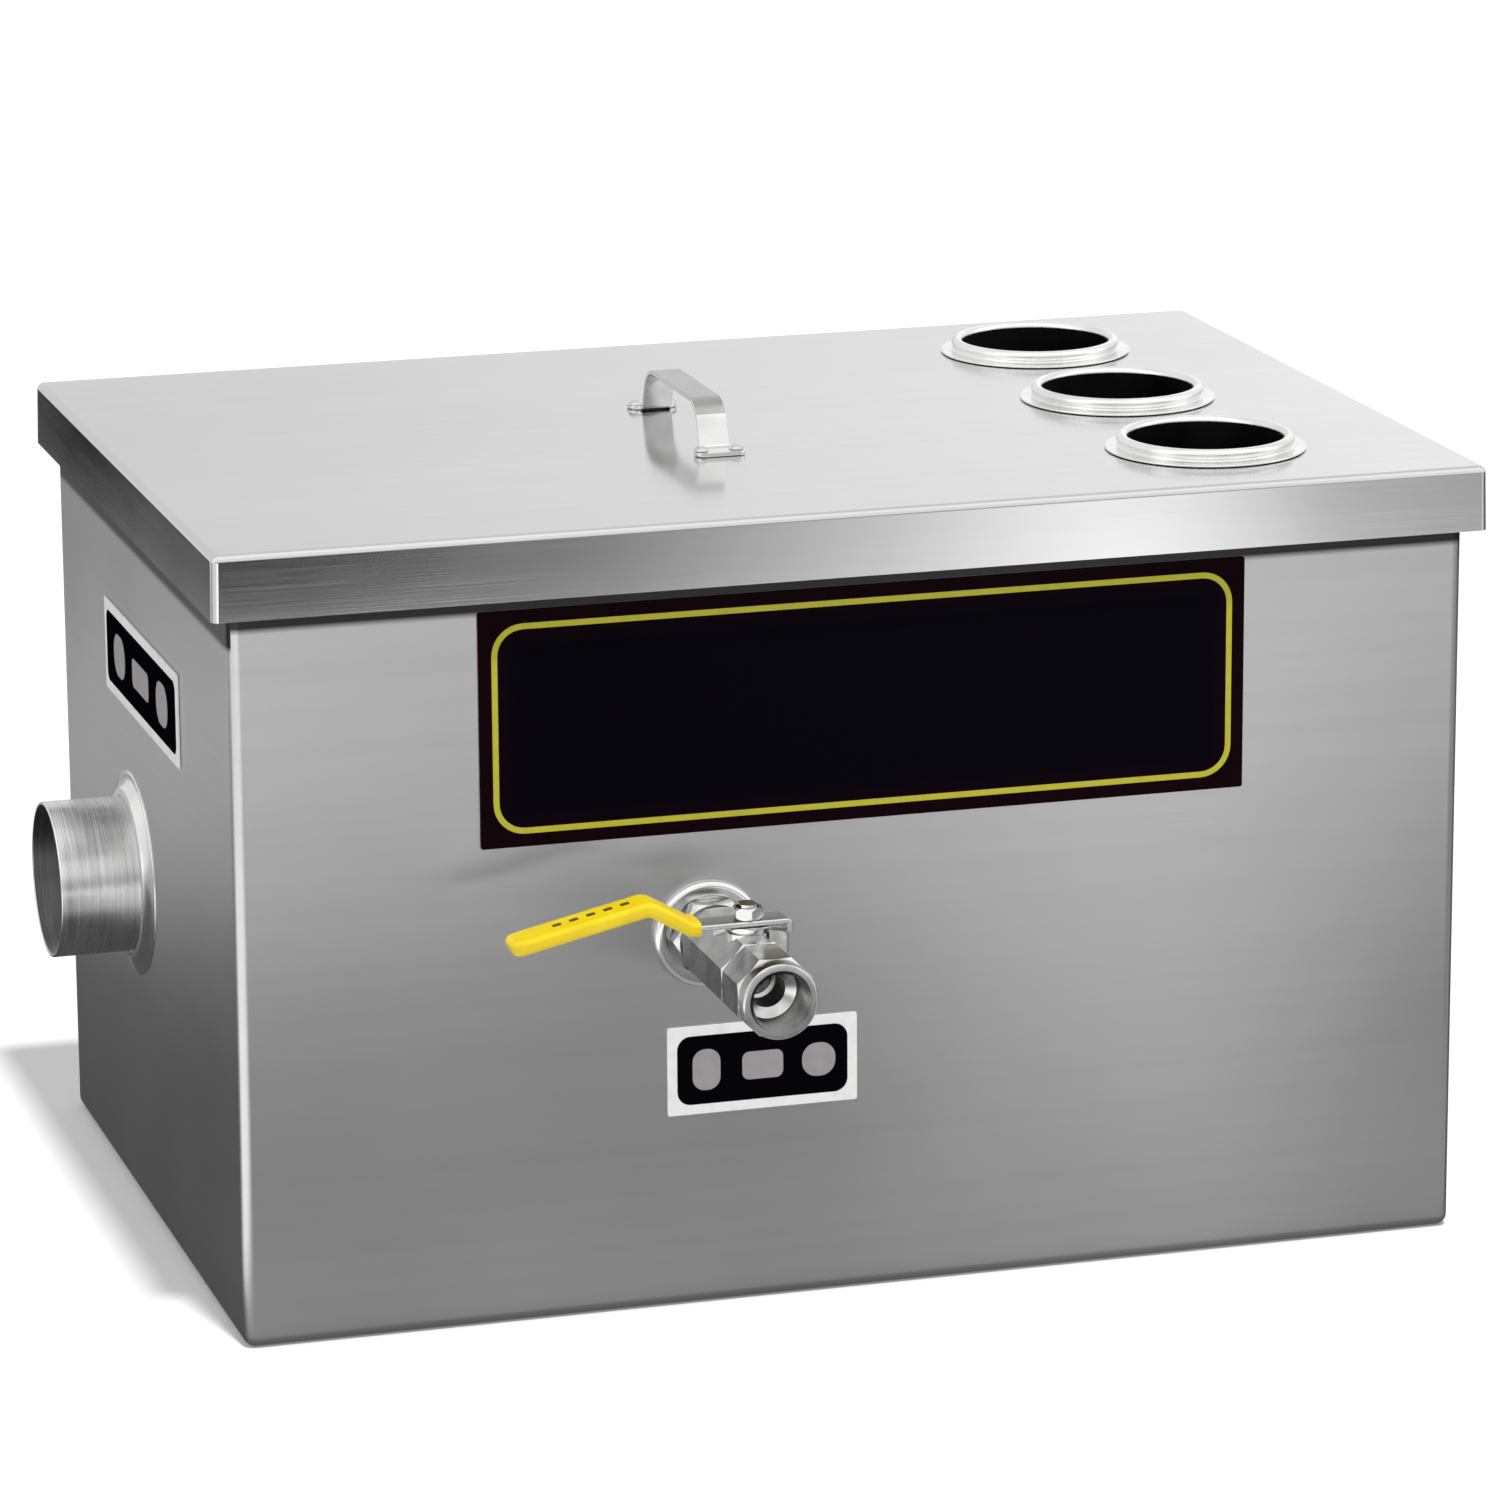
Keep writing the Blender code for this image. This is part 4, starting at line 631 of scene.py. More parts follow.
rivet_steel = polished("rivet_steel", (0.70, 0.70, 0.695), 0.24, 0.00001)
rivet_outline = [(0.0, 0.0035), (0.0009, 0.0035), (0.0011, 0.0041), (0.0018, 0.0041), (0.0026, 0.0037)]
rivet_outline += [(0.0032, 0.0031), (0.0036, 0.0024), (0.0020, 0.0024), (0.0020, -0.0013)]
rivet_outline += [(0.0029, -0.0013), (0.0029, -0.0031), (0.0, -0.0031)]
first_place = rivet_places[1]
first_rivet = turn("rivet_head", rivet_outline, (*first_place.xy, lid_high.z), UP, steps=32)
for rivet, place in rivet_places.items():
    shift = place - first_place
    shift.z = 0.0
    piece = first_rivet if rivet == 1 else repeat(first_rivet, f"rivet_head_{rivet}", shift)
    complete(piece, rivet_steel, "trap", f"handle_rivet_{rivet}")


# Outlet: a stub of welded stainless tube through the left wall, turned on a lathe so that its
# brushing runs round it, with a dished ring round it on the wall and a tee on its inner end.
def turned_tube(name, dark, light, roughness):
    """Lathe-brushed tube along X, with rings of fine scratches."""
    material, tree = new_material(name, roughness, 1.0)
    x, y, z = place_of(tree)
    rings = noise(tree, x * 1100.0, y * 14.0, z * 14.0, detail=3.0)
    bands = noise(tree, x * 240.0, y * 22.0, z * 22.0)
    tone = rings * 0.55 + bands * 0.45
    rough = rings * 0.16 + (roughness - 0.08)
    return finish(material, tone.step(0.35, 0.62).colours(dark, light), rough, rings, 0.5, 0.00006)


PIPE_WALL = 0.0015
LIP = 0.0005
pipe_steel = turned_tube("pipe_steel_turned", (0.62, 0.62, 0.62), (0.96, 0.96, 0.955), 0.26)
# The tube's inside is painted dark, as painted shade
pipe_inside_shade = turned_tube("pipe_inside_shade", (0.10, 0.10, 0.10), (0.18, 0.18, 0.18), 0.42)
pipe_bore = pipe_radius - PIPE_WALL
pipe_reach = -wall_x - pipe_low.x
pipe_inner = -wall_x - pipe_high.x
pipe_outline = arc((pipe_radius - LIP, pipe_reach - LIP), LIP, 0, 90, 4)
pipe_outline += arc((pipe_bore + LIP, pipe_reach - LIP), LIP, 90, 180, 4)
pipe_outline += [(pipe_bore, pipe_inner), (pipe_radius, pipe_inner)]
pipe = turn("outlet_pipe_tube", pipe_outline, outlet_at, (-1, 0, 0))
pipe.data.materials.append(pipe_steel)
paint_bore_shade(pipe, pipe_inside_shade, pipe_bore, outlet_at, (1, 0, 0))
complete(pipe, pipe_steel, "trap", "outlet_pipe")
refinish(pipe_steel, "outlet_tee")

OUTLET_RING_RADIUS = 0.0500
OUTLET_RING_HEIGHT = 0.0055
ring_steel = polished("ring_steel", (0.95, 0.95, 0.945), 0.24, 0.00001)
ring_bore = pipe_radius + SLIP
dish = arc((OUTLET_RING_RADIUS - 0.0009, 0.0012), 0.0009, -90, 60, 5)
dish += arc((ring_bore + 0.0125, 0.0141), 0.0125, -92, -136, 6)
dish += [(ring_bore + 0.0013, OUTLET_RING_HEIGHT), (ring_bore, OUTLET_RING_HEIGHT)]
dish += [(ring_bore, SLIP)]
outlet_ring = turn("outlet_ring_dished", dish, outlet_at, (-1, 0, 0))
complete(outlet_ring, ring_steel, "trap", "outlet_ring")


# Front panel: a plate of black enamelled sheet glued under the lid's skirt. A raised yellow line
# with round corners frames the bare field, and the enamel has a maroon cast at the edges.
def enamel(name, colour, edge_colour, centre, half_size, roughness):
    """Hard glossy enamel that turns to another colour near the plate's edges."""
    material, tree = new_material(name, roughness, 0.0, 0.03)
    x, y, z = place_of(tree)
    reach_x = abs(x - centre[0]) - half_size[0]
    reach_z = abs(z - centre[1]) - half_size[1]
    edge = reach_x.math("MAXIMUM", reach_z).step(-0.018, -0.004)
    peel = noise(tree, x, y, z, scale=260.0)
    dust = noise(tree, x, y, z, scale=9.0, detail=3.0)
    turned = (edge * (dust * 0.4 + 0.8)).colours(colour, edge_colour)
    rough = dust * 0.12 + peel * 0.06 + (roughness - 0.09)
    return finish(material, turned, rough, peel, 0.15, 0.00003)


def paint(name, colour, roughness, gloss=0.3):
    """Plain paint or print with a slight mottle."""
    material, tree = new_material(name, roughness, 0.0, gloss)
    x, y, z = place_of(tree)
    mottle = noise(tree, x, y, z, scale=160.0, detail=3.0)
    worn = tuple(0.92 * channel for channel in colour)
    rough = mottle * 0.2 + (roughness - 0.1)
    return finish(material, mottle.step(0.3, 0.55).colours(worn, colour), rough, mottle, 0.2, 0.00003)


def plate(name, low, high, through, radius, rim=0.0):
    """A thin plate with round corners, whose thickness runs along X or Y."""
    piece = block(name, low, high)
    index = "XY".index(through)
    pick("EDGE", lambda edge: abs((edge.verts[0].co - edge.verts[1].co).normalized()[index]) > 0.9)
    bpy.ops.mesh.bevel(offset=radius, segments=8, profile=0.5)
    if rim:
        pick("FACE", lambda face: face.normal[index] < -0.9)
        bpy.ops.mesh.region_to_loop()
        bpy.ops.mesh.bevel(offset=rim, segments=2, profile=0.5)
    bpy.ops.object.mode_set(mode="OBJECT")
    return piece


def unite(piece, *others):
    """Joins loose pieces into one object."""
    take(piece, *others)
    bpy.ops.object.join()


PLATE_CORNER = 0.0012
PLATE_EDGE = 0.0002
PANEL_LINE_INSET = 0.0062
PANEL_LINE_WIDTH = 0.0028
PANEL_LINE_RADIUS = 0.015
INK = 0.00012
panel_low, panel_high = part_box("front_panel")
panel_centre = (panel_low + panel_high) / 2
panel_half = (panel_high - panel_low) / 2
black_enamel = enamel("black_enamel", (0.0010, 0.0002, 0.0036), (0.006, 0.0006, 0.0020),
                      panel_centre.xz, panel_half.xz, 0.40)
yellow_line = paint("yellow_line", (0.50, 0.47, 0.03), 0.45)
panel = plate("front_panel_plate", panel_low, panel_high, "Y", PLATE_CORNER, PLATE_EDGE)
panel.data.materials.append(black_enamel)
inset = Vector((PANEL_LINE_INSET, 0, PANEL_LINE_INSET))
line_low = panel_low + inset + Vector((0, -INK, 0))
line_high = panel_high - inset
line_high.y = panel_low.y + INK
line = plate("front_panel_line", line_low, line_high, "Y", PANEL_LINE_RADIUS)
pick("FACE", lambda face: abs(face.normal.y) > 0.9)
bpy.ops.mesh.inset(thickness=PANEL_LINE_WIDTH, depth=0, use_boundary=True)
bpy.ops.mesh.bridge_edge_loops()
bpy.ops.object.mode_set(mode="OBJECT")
line.data.materials.append(yellow_line)
unite(panel, line)
complete(panel, black_enamel, "trap", "front_panel")


# Two labels: white plates with a black rounded field, one under the valve and one over the outlet.
# Three pale plain shapes stand on each field.
white_print = paint("white_print", (0.86, 0.86, 0.85), 0.50)
black_print = paint("black_print", (0.002, 0.002, 0.003), 0.60, 0.0)
grey_print = paint("grey_print", (0.34, 0.32, 0.33), 0.55)


def label(name, node, through, border, radius, marks):
    """A label in its frame's box. Each mark gives how round it is, its place across and its size."""
    low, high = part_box(node)
    base = plate(name, low, high, through, PLATE_CORNER, PLATE_EDGE)
    base.data.materials.append(white_print)
    index, wide = (0, 1) if through == "X" else (1, 0)
    centre = (low + high) / 2
    half = (high - low) / 2

    def stamp(kind, place, half_width, half_height, rise, depth, corner, ink):
        """A field of print, from a rise over the label's face to a depth in it."""
        from_corner = centre.copy()
        to_corner = centre.copy()
        from_corner[wide] += place - half_width
        to_corner[wide] += place + half_width
        from_corner.z -= half_height
        to_corner.z += half_height
        from_corner[index] = low[index] - rise
        to_corner[index] = low[index] + depth
        field = plate(f"{name}_{kind}", from_corner, to_corner, through, corner)
        field.data.materials.append(ink)
        return field

    inner = (half[wide] - border, half.z - border)
    stamps = [stamp("field", 0.0, *inner, INK, INK, radius, black_print)]
    for rounding, place, *halves in marks:
        corner = min(halves) * rounding
        stamps.append(stamp("mark", place, *halves, 2 * INK, 0.0, corner, grey_print))
    unite(base, *stamps)
    complete(base, white_print, "trap", node)


label("valve_label_plate", "valve_label", "Y", 0.0048, 0.0065,
      ((0.9, -0.0275, 0.0068, 0.0100), (0.5, 0.0, 0.0100, 0.0068), (0.9, 0.0275, 0.0082, 0.0082)))
label("side_label_plate", "side_label", "X", 0.0052, 0.0050,
      ((0.9, -0.0500, 0.0130, 0.0105), (0.5, 0.0, 0.0190, 0.0072), (0.9, 0.0500, 0.0130, 0.0105)))


# Bulkhead of the valve: a thick polished ring on the wall and the threaded nipple with its hexagon.
# A rubber gasket and a lock nut clamp the nipple from inside.
def cast(name, dark, light, roughness, grit):
    """Cast and tumbled stainless, lighter and darker in soft random clouds."""
    material, tree = new_material(name, roughness, 1.0)
    x, y, z = place_of(tree)
    grain = noise(tree, x, y, z, scale=1100.0, detail=3.0)
    clouds = noise(tree, x, y, z, scale=70.0, detail=3.0)
    rough = grain * 0.14 + clouds * 0.06 + (roughness - 0.10)
    return finish(material, clouds.step(0.35, 0.6).colours(dark, light), rough, grain, 0.5, grit)


def prism(name, centre, axis, start, end, flats, sides, chamfer, hole=0.0):
    """A nut's form: a prism with a flat at its top, chamfered on a lathe, with a hole."""
    centre = Vector(centre)
    axis = Vector(axis)
    across = flats / 2 / math.cos(math.pi / sides)
    turned_by = math.pi / sides if abs(axis.z) < 0.5 else math.pi / 2 + math.pi / sides
    piece = bar(name, centre + axis * start, centre + axis * end, across, sides, turned_by)
    reach = across + 0.0002
    slope = chamfer * (reach - flats / 2) * 2
    outline = [(0.0, start), (flats / 2, start), (reach, start + slope), (reach, end - slope)]
    outline += [(flats / 2, end), (0.0, end)]
    combine(piece, turn("chamfer", outline, centre, axis), "INTERSECT")
    if hole:
        overrun = axis * 0.002
        drill = bar("drill", centre + axis * start - overrun, centre + axis * end + overrun, hole, 64)
        combine(piece, drill, "DIFFERENCE")
    return piece


OUT = Vector((0, -1, 0))
SOCKET_RADIUS = 0.0135
bright_cast = cast("bright_cast", (0.50, 0.50, 0.495), (0.74, 0.74, 0.735), 0.19, 0.00001)
# A dark cast finish that stands for shade: painted on the side flats, inside the end cap's mouth and
# on the ball
shade_painted_cast = cast("shade_painted_cast", (0.10, 0.10, 0.10), (0.22, 0.22, 0.215), 0.30, 0.00002)
wall_ring = [(SOCKET_RADIUS, SLIP), (0.026, SLIP), *arc((0.0228, 0.0016), 0.0032, 0, 90, 8)]
wall_ring += [*arc((0.0197, 0.0036), 0.0012, 90, 180, 5), (SOCKET_RADIUS, 0.0036)]
piece = turn("valve_wall_ring_turned", wall_ring, axis_start, OUT)
wall_ring_steel = polished("wall_ring_steel", (0.86, 0.86, 0.855), 0.18, 0.00001)
complete(piece, wall_ring_steel, "trap", "valve_wall_ring")
refinish(bright_cast, "bulkhead_locknut")

THREAD_DEPTH = 0.0010
THREAD_PITCH = 0.0018


def thread(radius, start, end):
    """The outline of a row of thread grooves."""
    turns = max(1, round((end - start) / THREAD_PITCH))
    step = (end - start) / turns
    outline = [(radius, start)]
    for index in range(turns):
        foot = start + step * index
        outline += [(radius - THREAD_DEPTH, foot + step * 0.5), (radius, foot + step * 0.95)]
    return [*outline, (radius, end)]


NIPPLE_BORE = 0.0095
HEXAGON_START = 0.0039
HEXAGON_END = 0.0139
HEXAGON_FLATS = 0.034
HEXAGON_HOLE = 0.0118
nipple_low, nipple_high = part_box("valve_nipple")
nipple_start = -wall_y - nipple_high.y
nipple_end = -wall_y - nipple_low.y
nipple_outline = [(NIPPLE_BORE, nipple_start), (0.0120, nipple_start)]
nipple_outline += thread(THREAD_RADIUS, nipple_start + 0.001, 0.0045)
nipple_outline += thread(THREAD_RADIUS, 0.0136, nipple_end - 0.001)
nipple_outline += [(0.0120, nipple_end), (NIPPLE_BORE, nipple_end)]
nipple = turn("valve_nipple_turned", nipple_outline, axis_start, OUT)
hexagon = prism("nipple_hexagon", axis_start, OUT, HEXAGON_START, HEXAGON_END, HEXAGON_FLATS, 6, 0.5,
                HEXAGON_HOLE)
combine(nipple, hexagon, "UNION")
complete(nipple, bright_cast, "trap", "valve_nipple")


# Ball valve: an eight-sided cast body screwed on the nipple, with a neck for the stem and two ears
# that stop the lever, and a screwed-in end cap with a round threaded mouth. The ball and its
# plastic seats sit between them.
def paint_shade_on_flats(piece):
    """Paints the left and right flats dark, as painted shade."""
    dress(piece, shade_painted_cast, lambda face: abs(face.normal.x) > 0.99
          and abs(middle(face).x - valve_x) > BODY_FLATS / 2 - 0.0002
          and middle(face).y > -wall_y - CAP_END + 0.0005)


def soften(piece, width):
    """Rounds the sharp edges a little, as tumbling does."""
    modify(piece, "BEVEL", width=width, segments=2, limit_method="ANGLE", angle_limit=math.radians(40))


STEM_REACH = 0.067
STEM_RADIUS = 0.005
LEVER_WIDTH = 0.014
LEVER_THICKNESS = 0.0025
TAB_REACH = 0.0183
BODY_START = 0.022
BODY_END = 0.086
BODY_FLATS = 0.036
CAP_START = 0.0863
CAP_END = 0.112
MOUTH_END = 0.1199
MOUTH_RADIUS = 0.0178
NECK_FOOT = 0.010
NECK_TOP = 0.0195
NECK_RADIUS = 0.0105
EAR_TOP = 0.02075
EAR_HALF = 0.0025
CHAMBER_RADIUS = 0.0149
CHAMBER_START = 0.0517
PORT_BORE = 0.0085
SPIGOT_RADIUS = 0.0146
stem_hole = STEM_RADIUS + SLIP
stem_at = axis_start + OUT * STEM_REACH
body = prism("valve_body_cast", axis_start, OUT, BODY_START, BODY_END, BODY_FLATS, 8, 0.5)
combine(body, bar("neck", stem_at + UP * NECK_FOOT, stem_at + UP * NECK_TOP, NECK_RADIUS, 64), "UNION")
tab_inner = TAB_REACH - LEVER_THICKNESS / 2
tab_corner = math.hypot(tab_inner, LEVER_WIDTH / 2)
ear_angle = math.atan2(LEVER_WIDTH / 2, tab_inner) + math.asin((EAR_HALF + SLIP) / tab_corner)
ear_angle = math.degrees(ear_angle)
for angle in (-ear_angle, 90 + ear_angle):
    ear_low = stem_at + Vector((0.0110, -EAR_HALF, NECK_FOOT))
    ear_high = stem_at + Vector((0.0190, EAR_HALF, EAR_TOP))
    ear = block("stop_ear", ear_low, ear_high)
    pick("VERT", lambda vert: True)
    swing(angle, "Z", stem_at)
    combine(body, ear, "UNION")
cavity = [(0.0, 0.090), (CHAMBER_RADIUS, 0.090), (CHAMBER_RADIUS, CHAMBER_START)]
cavity += [(PORT_BORE, CHAMBER_START), (PORT_BORE, 0.0365), (SOCKET_RADIUS, 0.0365)]
cavity += [(SOCKET_RADIUS, 0.018), (0.0, 0.018)]
combine(body, turn("cavity", cavity, axis_start, OUT), "DIFFERENCE")
passage = [(0.0, 0.0235), (0.0081, 0.0235), (0.0081, 0.0164), (stem_hole, 0.0164)]
passage += [(stem_hole, 0.0), (0.0, 0.0)]
combine(body, turn("passage", passage, stem_at, UP), "DIFFERENCE")
soften(body, 0.0005)
body.data.materials.append(bright_cast)
# The side flats are painted dark as painted shade
paint_shade_on_flats(body)
complete(body, bright_cast, "trap", "valve_body")

cap = prism("valve_end_cap_cast", axis_start, OUT, CAP_START, CAP_END, BODY_FLATS, 8, 0.5)
mouth = arc((MOUTH_RADIUS - 0.0012, MOUTH_END - 0.0012), 0.0012, 0, 90, 5)
mouth = [(0.0, CAP_END - 0.003), (MOUTH_RADIUS, CAP_END - 0.003), *mouth, (0.0, MOUTH_END)]
combine(cap, turn("mouth", mouth, axis_start, OUT), "UNION")
spigot = bar("spigot", axis_start + OUT * 0.0823, axis_start + OUT * 0.0893, SPIGOT_RADIUS, 64)
combine(cap, spigot, "UNION")
bore = [(0.0, 0.124), (SPIGOT_RADIUS, 0.124), (SPIGOT_RADIUS, MOUTH_END)]
bore += reversed(thread(0.0138, 0.1010, MOUTH_END - 0.0008))
bore += [(THREAD_RADIUS, 0.100), (PORT_BORE, 0.098), (PORT_BORE, 0.078), (0.0, 0.078)]
combine(cap, turn("cap_bore", bore, axis_start, OUT), "DIFFERENCE")
soften(cap, 0.0005)
cap.data.materials.append(bright_cast)
# The inside of the mouth is painted dark, as painted shade
paint_bore_shade(cap, shade_painted_cast, 0.0150, axis_start, OUT)
paint_shade_on_flats(cap)
complete(cap, bright_cast, "trap", "valve_end_cap")

seat_plastic = rubber("seat_plastic", (0.70, 0.70, 0.68))
refinish(seat_plastic, "valve_seat_front", "valve_seat_rear", "stem_packing")
# The ball is painted dark, as painted shade inside the valve
refinish(shade_painted_cast, "valve_ball")


# Stem, gland nut and lever: the stem comes up through the gland nut and has two flats for the
# lever, which is bent from bar with a stop tab folded down at its short end. A nut holds it.
GLAND_START = 0.0198
GLAND_END = 0.0223
GLAND_FLATS = 0.018
gland = prism("gland_nut_turned", stem_at, UP, GLAND_START, GLAND_END, GLAND_FLATS, 6, 0.3, stem_hole)
complete(gland, bright_cast, "trap", "gland_nut")

LEVER_UNDERSIDE = 0.0226
LEVER_NUT_HEIGHT = 0.0055
LEVER_NUT_FLATS = 0.013
lever_mid = LEVER_UNDERSIDE + LEVER_THICKNESS / 2
lever_top = LEVER_UNDERSIDE + LEVER_THICKNESS
nut_start = lever_top + SLIP
nut_end = nut_start + LEVER_NUT_HEIGHT
stem_foot = stem_at + UP * 0.0136
stem = bar("valve_stem_turned", stem_foot, stem_at + UP * (LEVER_UNDERSIDE - SLIP), STEM_RADIUS, 48)
stem_tip = stem_at + UP * (nut_end + 0.0015)
stem_top = bar("stem_top", stem_at + UP * 0.0196, stem_tip, STEM_RADIUS, 48)
flats_low = stem_at + Vector((-0.0038, -0.01, 0))
combine(stem_top, block("flats", flats_low, stem_at + Vector((0.0038, 0.01, 0.05))), "INTERSECT")
combine(stem, stem_top, "UNION")
tang_low = stem_at + Vector((-0.002, -0.0045, 0.0103))
combine(stem, block("tang", tang_low, stem_at + Vector((0.002, 0.0045, 0.0166))), "UNION")
soften(stem, 0.0003)
complete(stem, bright_cast, "valve_handle", "valve_stem")

ARM_DEGREES = 12.5
ARM_SLOPE = math.tan(math.radians(ARM_DEGREES))
ARM_FOOT = 0.028
ARM_RISE = 0.0115
ARM_BEND = 0.048
ARM_FILLET = 0.006
ARM_END = 0.107
arm_foot = (-ARM_FOOT, lever_mid)
arm_bend = (-ARM_BEND, lever_mid + ARM_RISE)


def arm_at(reach):
    """The point in the middle of the sloping arm, at a reach from the stem."""
    return (-reach, arm_bend[1] - (reach - ARM_BEND) * ARM_SLOPE)


tab = [(TAB_REACH, 0.0188), (TAB_REACH, lever_mid), (-0.010, lever_mid)]
arm = [(-0.010, lever_mid), arm_foot, arm_bend, arm_at(ARM_END)]
lever_path = fillet(tab, 0.0014, 5)[:-1] + fillet(arm, ARM_FILLET, 6)[1:]
wide, thick = LEVER_WIDTH / 2, LEVER_THICKNESS / 2
flat_bar = [(wide, 0.0008), (0.0065, thick), (-0.0065, thick), (-wide, 0.0008)]
flat_bar += [(-width, -height) for width, height in flat_bar]
lever = sweep("valve_lever_bent", flat_bar, lever_path, stem_at, "X")
lever_hole = bar("lever_hole", stem_at + UP * 0.018, stem_at + UP * 0.030, stem_hole, 48)
combine(lever, lever_hole, "DIFFERENCE")
lever_steel = polished("lever_steel", (0.72, 0.72, 0.715), 0.25, 0.00001)
complete(lever, lever_steel, "valve_handle", "valve_lever")

lever_nut = prism("lever_nut_turned", stem_at, UP, nut_start, nut_end, LEVER_NUT_FLATS, 6, 0.6,
                  stem_hole)
complete(lever_nut, lever_steel, "valve_handle", "lever_nut")


# Lever sleeve: a yellow vinyl grip, dipped and then pushed over the lever's arm, with a blunt round
# end and a short row of dark pads on top.
def vinyl(name, colour, deep):
    """Dipped vinyl: soft gloss, slightly uneven, deeper in colour in soft random clouds."""
    material, tree = new_material(name, 0.38, 0.0)
    x, y, z = place_of(tree)
    clouds = noise(tree, x, y, z, scale=55.0, detail=3.0)
    skin = noise(tree, x, y, z, scale=700.0, detail=3.0)
    rough = clouds * 0.15 + skin * 0.1 + 0.26
    return finish(material, clouds.step(0.35, 0.7).colours(colour, deep), rough, skin, 0.25, 0.00004)


SLEEVE_START = 0.0245
SLEEVE_STRAIGHT = 0.1060
SLEEVE_TIP = 0.0065
sleeve_path = [(-SLEEVE_START, lever_mid), arm_foot, arm_bend, arm_at(SLEEVE_STRAIGHT)]
sleeve_path = fillet(sleeve_path, ARM_FILLET, 8)
for degrees in (15, 30, 45, 58, 70, 80, 87):
    lost = 1 - math.cos(math.radians(degrees))
    reach = SLEEVE_STRAIGHT + SLEEVE_TIP * math.sin(math.radians(degrees))
    sleeve_path.append((*arm_at(reach), 1 - 0.55 * lost, 1 - 0.62 * lost * lost))
corner = arc((0.007, 0.001), 0.0025, 0, 90, 5)
rounded = corner + [(-width, height) for width, height in reversed(corner)]
rounded += [(-width, -height) for width, height in rounded]
sleeve = sweep("lever_sleeve_dipped", rounded, sleeve_path, stem_at, "X")
pocket_path = [(-0.020, lever_mid), arm_foot, arm_bend, arm_at(0.1076)]
wide, thick = LEVER_WIDTH / 2 + SLIP, LEVER_THICKNESS / 2 + SLIP
pocket_bar = [(wide, thick), (-wide, thick), (-wide, -thick), (wide, -thick)]
pocket = sweep("pocket", pocket_bar, fillet(pocket_path, ARM_FILLET, 6), stem_at, "X")
combine(sleeve, pocket, "DIFFERENCE")
yellow_vinyl = vinyl("yellow_vinyl", (0.93, 0.72, 0.008), (0.86, 0.60, 0.005))
dark_pads = paint("dark_pads", (0.10, 0.075, 0.008), 0.5)
sleeve.data.materials.append(yellow_vinyl)
pads = []
for reach in (0.058, 0.066, 0.074, 0.082, 0.090):
    along, height = arm_at(reach)
    top = stem_at + Vector((along, 0, height + 0.0035))
    pad_low = top - Vector((0.0021, 0.0016, 0.0004))
    pad = block("sleeve_pad", pad_low, top + Vector((0.0021, 0.0016, 0.0003)))
    pick("EDGE", lambda edge: abs(edge.verts[0].co.z - edge.verts[1].co.z) > 0.0001)
    bpy.ops.mesh.bevel(offset=0.0007, segments=3, profile=0.5)
    pick("VERT", lambda vert: True)
    swing(-ARM_DEGREES, "Y", top)
    bpy.ops.object.mode_set(mode="OBJECT")
    pad.data.materials.append(dark_pads)
    pads.append(pad)
unite(sleeve, *pads)
complete(sleeve, yellow_vinyl, "valve_handle", "lever_sleeve")


# Floor and light: a pale floor that reads as white with a soft grey shadow, a white surround, and
# one lamp high up in front. In the steel the floor shows as studio paper that is grey near the tank,
# with a lit strip in front and dark cloth at the left.
def by_height(height, levels):
    """A level that changes softly between four bands of the front wall, from its foot to its top."""
    level = levels[0]
    for (start, end), upper in zip(((0.05, 0.13), (0.15, 0.22), (0.23, 0.31)), levels[1:]):
        level = height.step(start, end).between(level, upper)
    return level


def studio_paper(tree):
    """How bright the floor is in the steel. In front of the trap the paper is laid out by the height
    and the place on the front wall where it shows in the catalogue view: a lit strip right of the
    middle and a glow at the left, over a ground that is dark low down. The skirt shows a fade that
    lies farther off. Beside the trap and behind it there are plain fields."""
    x, y, _ = place_of(tree)
    share = (-wall_y - y) * (1 / (-wall_y - CAMERA_PLACE.y))
    height = share * CAMERA_PLACE.z / (share + 1.0)
    place = ((x + share * CAMERA_PLACE.x) / (share + 1.0) + 0.32) * (1 / 0.64)

    lit_strip = place.step(0.45, 0.73) * place.step(0.90, 0.78)
    glow = place.step(0.42, 0.0)
    front = by_height(height, (0.163, 0.062, 0.11, 0.60))
    front = front + by_height(height, (0.05, 0.30, 0.51, 0.42)) * lit_strip
    front = front + by_height(height, (0.01, 0.02, 0.20, 0.60)) * glow
    rise = place.step(0.08, 0.68)
    fade = place.step(0.72, 0.86).between((rise * 0.45 + 0.15) * rise + 0.008, 0.205)
    front = height.step(0.340, 0.352).between(front, fade)

    nearer = y.step(0.60, 1.20).between(0.18, 0.37)
    farther = y.step(0.95, 1.50).between(0.12, 0.18)
    upper = (x * 4.0 + y).step(-1.06, -0.88).between(nearer, farther)
    side = (y - x * 0.52).step(0.71, 0.83).between(0.034, upper)
    under_skirt = x.step(-0.57, -0.60) * x.step(-1.10, -0.90) * y.step(1.00, 1.25)
    side = under_skirt.between(side, y.step(1.90, 1.30).between(0.002, 0.056))

    paper = y.step(-0.22, -0.19).between(front, side)
    beside = x.step(-0.36, -0.42) * y.step(-0.04, -0.18)
    grey = beside.between(paper, x.step(-1.20, -1.45).between(0.66, 0.38))
    return Flow.node(tree, "ShaderNodeCombineXYZ", {}, {"X": grey, "Y": grey, "Z": grey})


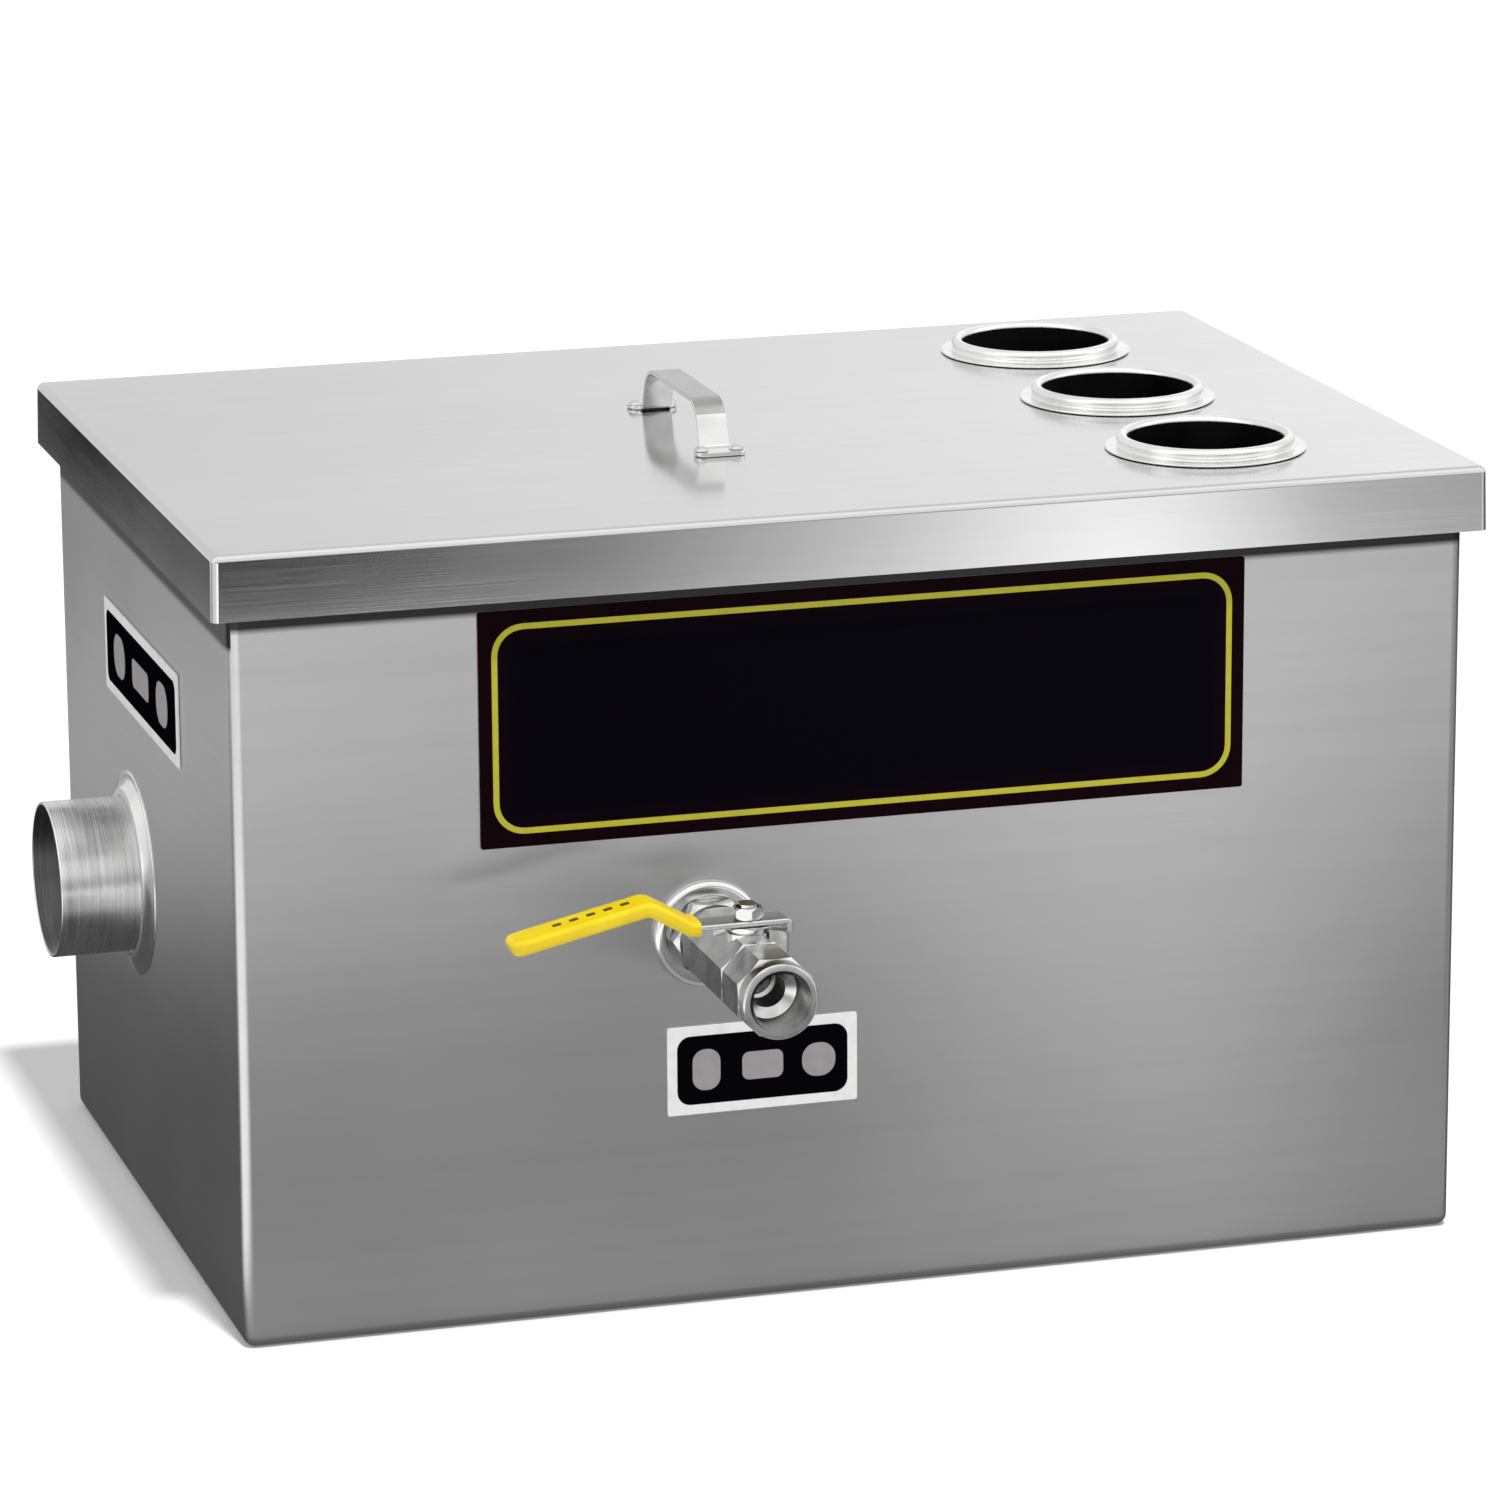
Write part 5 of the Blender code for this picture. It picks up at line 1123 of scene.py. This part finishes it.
def studio_floor():
    """Pale matt floor for the camera and the lamps, and studio paper for reflections."""
    material = bpy.data.materials.new("pale_floor")
    material.use_nodes = True
    tree = material.node_tree
    tree.nodes.clear()
    output = tree.nodes.new("ShaderNodeOutputMaterial")
    ray = tree.nodes.new("ShaderNodeLightPath")
    matt = Flow.node(tree, "ShaderNodeBsdfDiffuse", {}, {"Color": (0.80, 0.80, 0.80, 1.0)})
    lift = Flow.node(tree, "ShaderNodeEmission", {}, {"Color": (1, 1, 1, 1), "Strength": 0.12})
    seen = Flow.node(tree, "ShaderNodeAddShader", {}, {0: matt, 1: lift})
    paper = Flow.node(tree, "ShaderNodeEmission", {}, {"Color": studio_paper(tree), "Strength": 2.4})
    shown = {0: Flow(ray.outputs["Is Camera Ray"]), 1: matt, 2: seen}
    shown = Flow.node(tree, "ShaderNodeMixShader", {}, shown)
    shown = {0: Flow(ray.outputs["Is Glossy Ray"]), 1: shown, 2: paper}
    shown = Flow.node(tree, "ShaderNodeMixShader", {}, shown)
    tree.links.new(shown.socket, output.inputs["Surface"])
    return material


floor = begin("floor", bpy.ops.mesh.primitive_plane_add, size=60)
floor.data.materials.append(studio_floor())

world = bpy.data.worlds.new("white_surround")
bpy.context.scene.world = world
world.use_nodes = True
tree = world.node_tree
ray = tree.nodes.new("ShaderNodeLightPath")
# For the surround these three numbers are a direction
x, y, z = place_of(tree)
behind = x.step(0.19, 0.37).between(0.80, 1.08)
before = z.step(0.10, 0.28).between(0.40, 1.05)
overhead = y.step(-0.70, -0.45).between(before, 1.25)
overhead = y.step(-0.05, 0.12).between(overhead, 0.85)
mirrored = y.step(0.60, 0.80).between(overhead, behind)
strength = Flow(ray.outputs["Is Glossy Ray"]).between(0.58, mirrored)
strength = Flow(ray.outputs["Is Camera Ray"]).between(strength, 1.0)
surround = tree.nodes["Background"]
surround.inputs["Color"].default_value = (1.0, 1.0, 1.0, 1.0)
tree.links.new(strength.socket, surround.inputs["Strength"])

aim = Vector((0.042, -0.27, 1.0)).to_track_quat("Z", "Y").to_euler()
bpy.ops.object.light_add(type="SUN", rotation=aim)
key = bpy.context.active_object
key.name = "broad_lamp"
key.data.energy = 2.2
key.data.angle = math.radians(3)
key.visible_glossy = False

# The outlet and the valve throw no shadow, and the walls mirror neither the sleeve nor the outlet
for piece in bpy.context.scene.objects:
    if piece.name.startswith(("outlet_", "valve_", "gland_", "lever_", "stem_")):
        piece.visible_shadow = False
for piece in (sleeve, pipe, outlet_ring):
    piece.visible_glossy = False

bpy.context.scene.view_settings.view_transform = "Standard"
